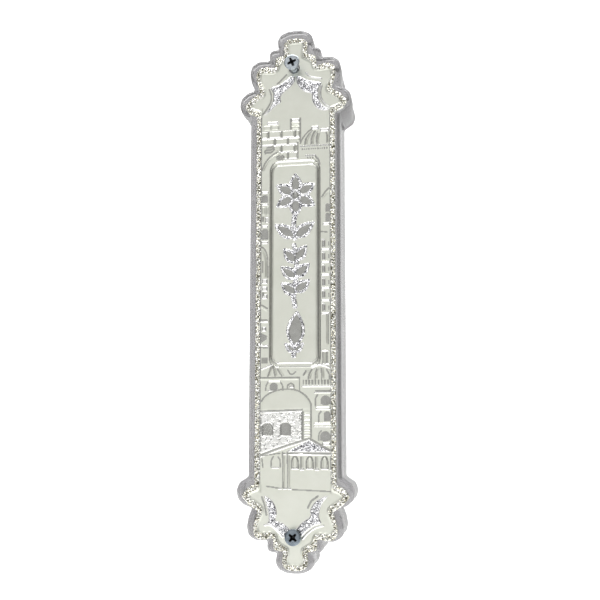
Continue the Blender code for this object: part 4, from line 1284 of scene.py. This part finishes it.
# ---- screws ----
def screw_object(name, z, proud, turn_deg, plate, dark):
    """Countersunk cross-head wood screw with a rolled helical thread and a pointed tip."""
    y0 = PLAQUE_FIELD_Y - proud
    n = 64
    head = [(SCREW_HEAD_R * 0.30, -0.100), (SCREW_HEAD_R * 0.62, -0.088), (SCREW_HEAD_R * 0.86, -0.050), (SCREW_HEAD_R * 0.96, 0.0),
            (SCREW_HEAD_R * 0.995, 0.06), (SCREW_HEAD_R, 0.12), (SCREW_HEAD_R * 0.985, 0.17)]
    for k in range(1, 7):
        f = k / 6
        r = SCREW_HEAD_R * 0.985 + (SCREW_SHANK_R * 0.93 - SCREW_HEAD_R * 0.985) * f ** 0.92
        head.append((r, 0.17 + (SCREW_CONE - 0.05) * f))
    rings = [(np.full(n, r), y) for r, y in head]
    neck = 2.9
    pitch, root = 1.15, 0.74
    th = 2 * math.pi * np.arange(n) / n
    y = head[-1][1] + 0.15
    step = 0.105
    while y < SCREW_L - 0.05:
        tip = smooth(np.array((SCREW_L - y) / 3.4))
        grow = smooth(np.array((y - neck) / 1.4))
        phase = (y / pitch - th / (2 * math.pi)) % 1.0
        crest = np.clip(1 - np.abs(phase - 0.5) / 0.22, 0, 1)
        core = SCREW_SHANK_R * 0.93 * (1 - grow) + root * grow
        r = (core + (SCREW_SHANK_R - root) * crest * grow) * (0.05 + 0.95 * float(tip) ** 0.8)
        rings.append((np.minimum(r, SCREW_SHANK_R), y))
        y += step
    bm = bmesh.new()
    made = []
    for r, yy in rings:
        made.append([bm.verts.new((r[k] * math.cos(th[k]), y0 + yy, z + r[k] * math.sin(th[k]))) for k in range(n)])
    for a, b in zip(made, made[1:]):
        for k in range(n):
            k2 = (k + 1) % n
            bm.faces.new((a[k], a[k2], b[k2], b[k]))
    first = bm.verts.new((0.0, y0 - 0.105, z))
    last = bm.verts.new((0.0, y0 + SCREW_L, z))
    for k in range(n):
        k2 = (k + 1) % n
        bm.faces.new((first, made[0][k2], made[0][k]))
        bm.faces.new((made[-1][k], made[-1][k2], last))
    screw = finish_bmesh(bm, name, [plate, dark], 40.0)
    # the driver recess: four arms that narrow with depth, and a cone at the bottom
    rings = []
    for depth, arm, half in ((-0.6, 1.36, 0.40), (0.05, 1.26, 0.37), (1.05, 0.80, 0.28), (1.5, 0.34, 0.18)):
        pts = []
        for q in range(4):
            t = math.radians(turn_deg + 90.0 * q)
            u, v = Vector((math.cos(t), math.sin(t))), Vector((-math.sin(t), math.cos(t)))
            fillet = min(half * 1.55, arm)
            for p in (u * arm - v * half * 0.72, u * arm + v * half * 0.72, u * fillet + v * half, (u + v) * half * 1.12, u * half + v * fillet):
                pts.append((p.x, p.y + z))
        rings.append((pts, y0 + depth))
    cut(screw, [(rings, "DIFFERENCE")])
    me = screw.data
    if len(me.materials) < 2:
        me.materials.clear()
        me.materials.append(plate)
        me.materials.append(dark)
    # the recess walls and floor take the near-black material: painted shade
    for p in me.polygons:
        c = p.center / MM
        r = math.hypot(c.x, c.z - z)
        depth = c.y - y0
        side = abs(p.normal.y) < 0.93
        p.material_index = 1 if (r < 1.56 and -0.10 < depth < 1.6 and (side or depth > 0.2)) else 0
    me.shade_smooth()
    me.set_sharp_from_angle(angle=math.radians(38))
    return screw


# ---- build ----
# the glitter stops run from near black to white: speck tint plus painted glints and painted dark reflections
WARM = [(0.0, (0.15, 0.14, 0.09)), (0.15, (0.45, 0.44, 0.37)), (0.36, (0.96, 0.96, 0.93)), (0.66, (0.93, 0.90, 0.77)), (0.80, (0.70, 0.70, 0.63))]
COOL = [(0.0, (0.20, 0.20, 0.22)), (0.15, (0.55, 0.55, 0.57)), (0.34, (0.97, 0.97, 0.98)), (0.72, (0.84, 0.84, 0.87))]
satin, polish, mirror = satin_silver(), polished_silver(), mirror_silver_painted_dark()
plaque = plaque_mesh([satin, cut_silver("silver_cut_warm", WARM, 0.013), polish, mirror, satin, groove_shade_silver(), cut_silver("silver_cut_cool", COOL, 0.031)])
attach(plaque, "case")
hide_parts("front_plaque")

case = case_object(clear_case())
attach(case, "case")
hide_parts("case_body")

cover = cover_object(cover_strip())
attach(cover, "cover")
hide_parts("rear_cover")

sheet = adhesive_object(foam_sheet())
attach(sheet, "case")
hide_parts("plaque_adhesive")

roll = rolled("parchment_roll", parchment_skin(), SCROLL_R_IN, SCROLL_PITCH, SCROLL_SHEET, SCROLL_TURNS, 40, -0.6, SCROLL_L, 60, 0.05, 3, 0.02)
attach(roll, "scroll")
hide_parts("scroll_parchment")

wrap = rolled("roll_film", film(), SLEEVE_R, 0.3, SLEEVE_T, 27 / 24, 64, 2.2, SLEEVE_L, 50, 0.02, 4, 0.01)
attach(wrap, "scroll")
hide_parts("scroll_sleeve")

dark = painted_recess_shade()
# lit and shaded copies of the same zinc: the darker copy on the lower screw is painted shade
upper = screw_object("screw_top", HOLE_Z + PLAQUE_DZ, UPPER_PROUD, 22.0, zinc("zinc_lit_copy", (0.58, 0.63, 0.67), (0.34, 0.38, 0.42)), dark)
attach(upper, "screw_upper")
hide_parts("upper_screw")
lower = screw_object("screw_bottom", -HOLE_Z + PLAQUE_DZ, LOWER_PROUD, 48.0, zinc("zinc_shaded_copy", (0.26, 0.30, 0.34), (0.13, 0.16, 0.19)), dark)
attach(lower, "screw_lower")
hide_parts("lower_screw")


# ---- stage, light and camera ----
STAGE_X0, STAGE_X1 = -2.2, 2.2


def stage():
    pts = [(-0.9, -0.30), (0.55, -0.30)]
    for k in range(1, 9):
        t = math.radians(90.0 * k / 8)
        pts.append((0.55 + 0.25 * math.sin(t), -0.05 - 0.25 * math.cos(t)))
    pts.append((0.80, 1.4))
    bm = bmesh.new()
    cols = [[bm.verts.new((x, y, z)) for y, z in pts] for x in (STAGE_X0, STAGE_X1)]
    for a in range(len(pts) - 1):
        bm.faces.new((cols[0][a], cols[1][a], cols[1][a + 1], cols[0][a + 1]))
    mesh = bpy.data.meshes.new("floor")
    bm.to_mesh(mesh)
    bm.free()
    mesh.shade_smooth()
    s = Nodes("floor_white", (0.95, 0.95, 0.95)).set(Emission_Strength=0.72, Emission_Color=(1.0, 1.0, 1.0))
    s.ramp(s.noise(s.coord, 6.0, 2.0), [(0.3, (0.93, 0.93, 0.93)), (0.7, (0.95, 0.95, 0.95))], "Base Color")
    s.spread(s.noise(s.coord, 30.0), 0.7, 0.8, "Roughness")
    floor = make_object("floor", mesh, [s.m])


def card(name, corners, glow, **seen):
    """A grey studio card that only the clear plastic picks up."""
    bm = bmesh.new()
    bm.faces.new([bm.verts.new(c) for c in corners])
    mesh = bpy.data.meshes.new(name)
    bm.to_mesh(mesh)
    bm.free()
    s = Nodes(name + "_grey", (0.2, 0.2, 0.2)).set(Emission_Strength=1.0, Emission_Color=glow)
    s.spread(s.noise(s.coord, 30.0), 0.7, 0.8, "Roughness")
    o = make_object(name, mesh, [s.m])
    o.visible_camera = o.visible_shadow = o.visible_diffuse = False
    o.visible_glossy = seen.get("glossy", False)
    o.visible_transmission = seen.get("through", False)


def softbox(name, at, aim, w, h, radiance, colour=(1.0, 1.0, 1.0)):
    light = bpy.data.lights.new(name, "AREA")
    light.shape = "RECTANGLE"
    light.size, light.size_y = w, h
    light.energy = radiance * math.pi * w * h
    light.color = colour
    o = bpy.data.objects.new(name, light)
    d = (Vector(aim) - Vector(at)).normalized()
    o.rotation_euler = d.to_track_quat("-Z", "Y").to_euler()
    o.location = at
    o.visible_camera = False
    bpy.context.scene.collection.objects.link(o)


stage()
card("card_rear", [(-0.30, 0.25, -0.22), (0.30, 0.25, -0.22), (0.30, 0.25, 0.40), (-0.30, 0.25, 0.40)], (0.06, 0.06, 0.06), glossy=True)
card("card_low", [(-0.08, 0.10, -0.125), (0.08, 0.10, -0.125), (0.08, 0.10, -0.069), (-0.08, 0.10, -0.069)], (0.50, 0.485, 0.505), through=True)
softbox("top", (0.0, -0.25, 0.62), (0.0, 0.0, 0.0), 0.9, 0.55, 0.55)
softbox("strip", (0.0, -0.20, 0.60), (0.0, 0.0, 0.0), 0.7, 0.18, 5.0)
softbox("front", (-0.20, -1.0, 0.12), (0.0, 0.0, 0.0), 0.62, 1.1, 0.62)

world = bpy.data.worlds.new("studio")
bpy.context.scene.world = world
world.use_nodes = True
bg = world.node_tree.nodes["Background"]
bg.inputs["Color"].default_value = (1.0, 1.0, 0.99, 1.0)
# the surround is white to look at and through, and a dim fill otherwise
tree = world.node_tree
path = tree.nodes.new("ShaderNodeLightPath")
seen = tree.nodes.new("ShaderNodeMath")
seen.operation = "MAXIMUM"
tree.links.new(path.outputs["Is Camera Ray"], seen.inputs[0])
tree.links.new(path.outputs["Is Transmission Ray"], seen.inputs[1])
level = tree.nodes.new("ShaderNodeMath")
level.operation = "MULTIPLY_ADD"
level.inputs[1].default_value = 0.70
level.inputs[2].default_value = 0.30
tree.links.new(seen.outputs["Value"], level.inputs[0])
tree.links.new(level.outputs["Value"], bg.inputs["Strength"])

cam_data = bpy.data.cameras.new("camera")
cam_data.sensor_width = 36.0
cam_data.lens = 49.955
cam_data.shift_x = 0.0167
cam_data.shift_y = 0.0617
cam_data.clip_start = 0.01
cam_data.clip_end = 10.0
cam = bpy.data.objects.new("camera", cam_data)
right = Vector((0.98470, 0.17423, 0.00185))
up = Vector((0.01891, -0.11739, 0.99291))
back = Vector((0.17321, -0.97768, -0.11889))
m = Matrix((
    (right.x, up.x, back.x, 0.03776),
    (right.y, up.y, back.y, -0.23494),
    (right.z, up.z, back.z, -0.03924),
    (0.0, 0.0, 0.0, 1.0),
))
cam.matrix_world = m
bpy.context.scene.collection.objects.link(cam)
bpy.context.scene.camera = cam
bpy.context.scene.view_settings.view_transform = "Standard"
bpy.context.scene.view_settings.look = "None"
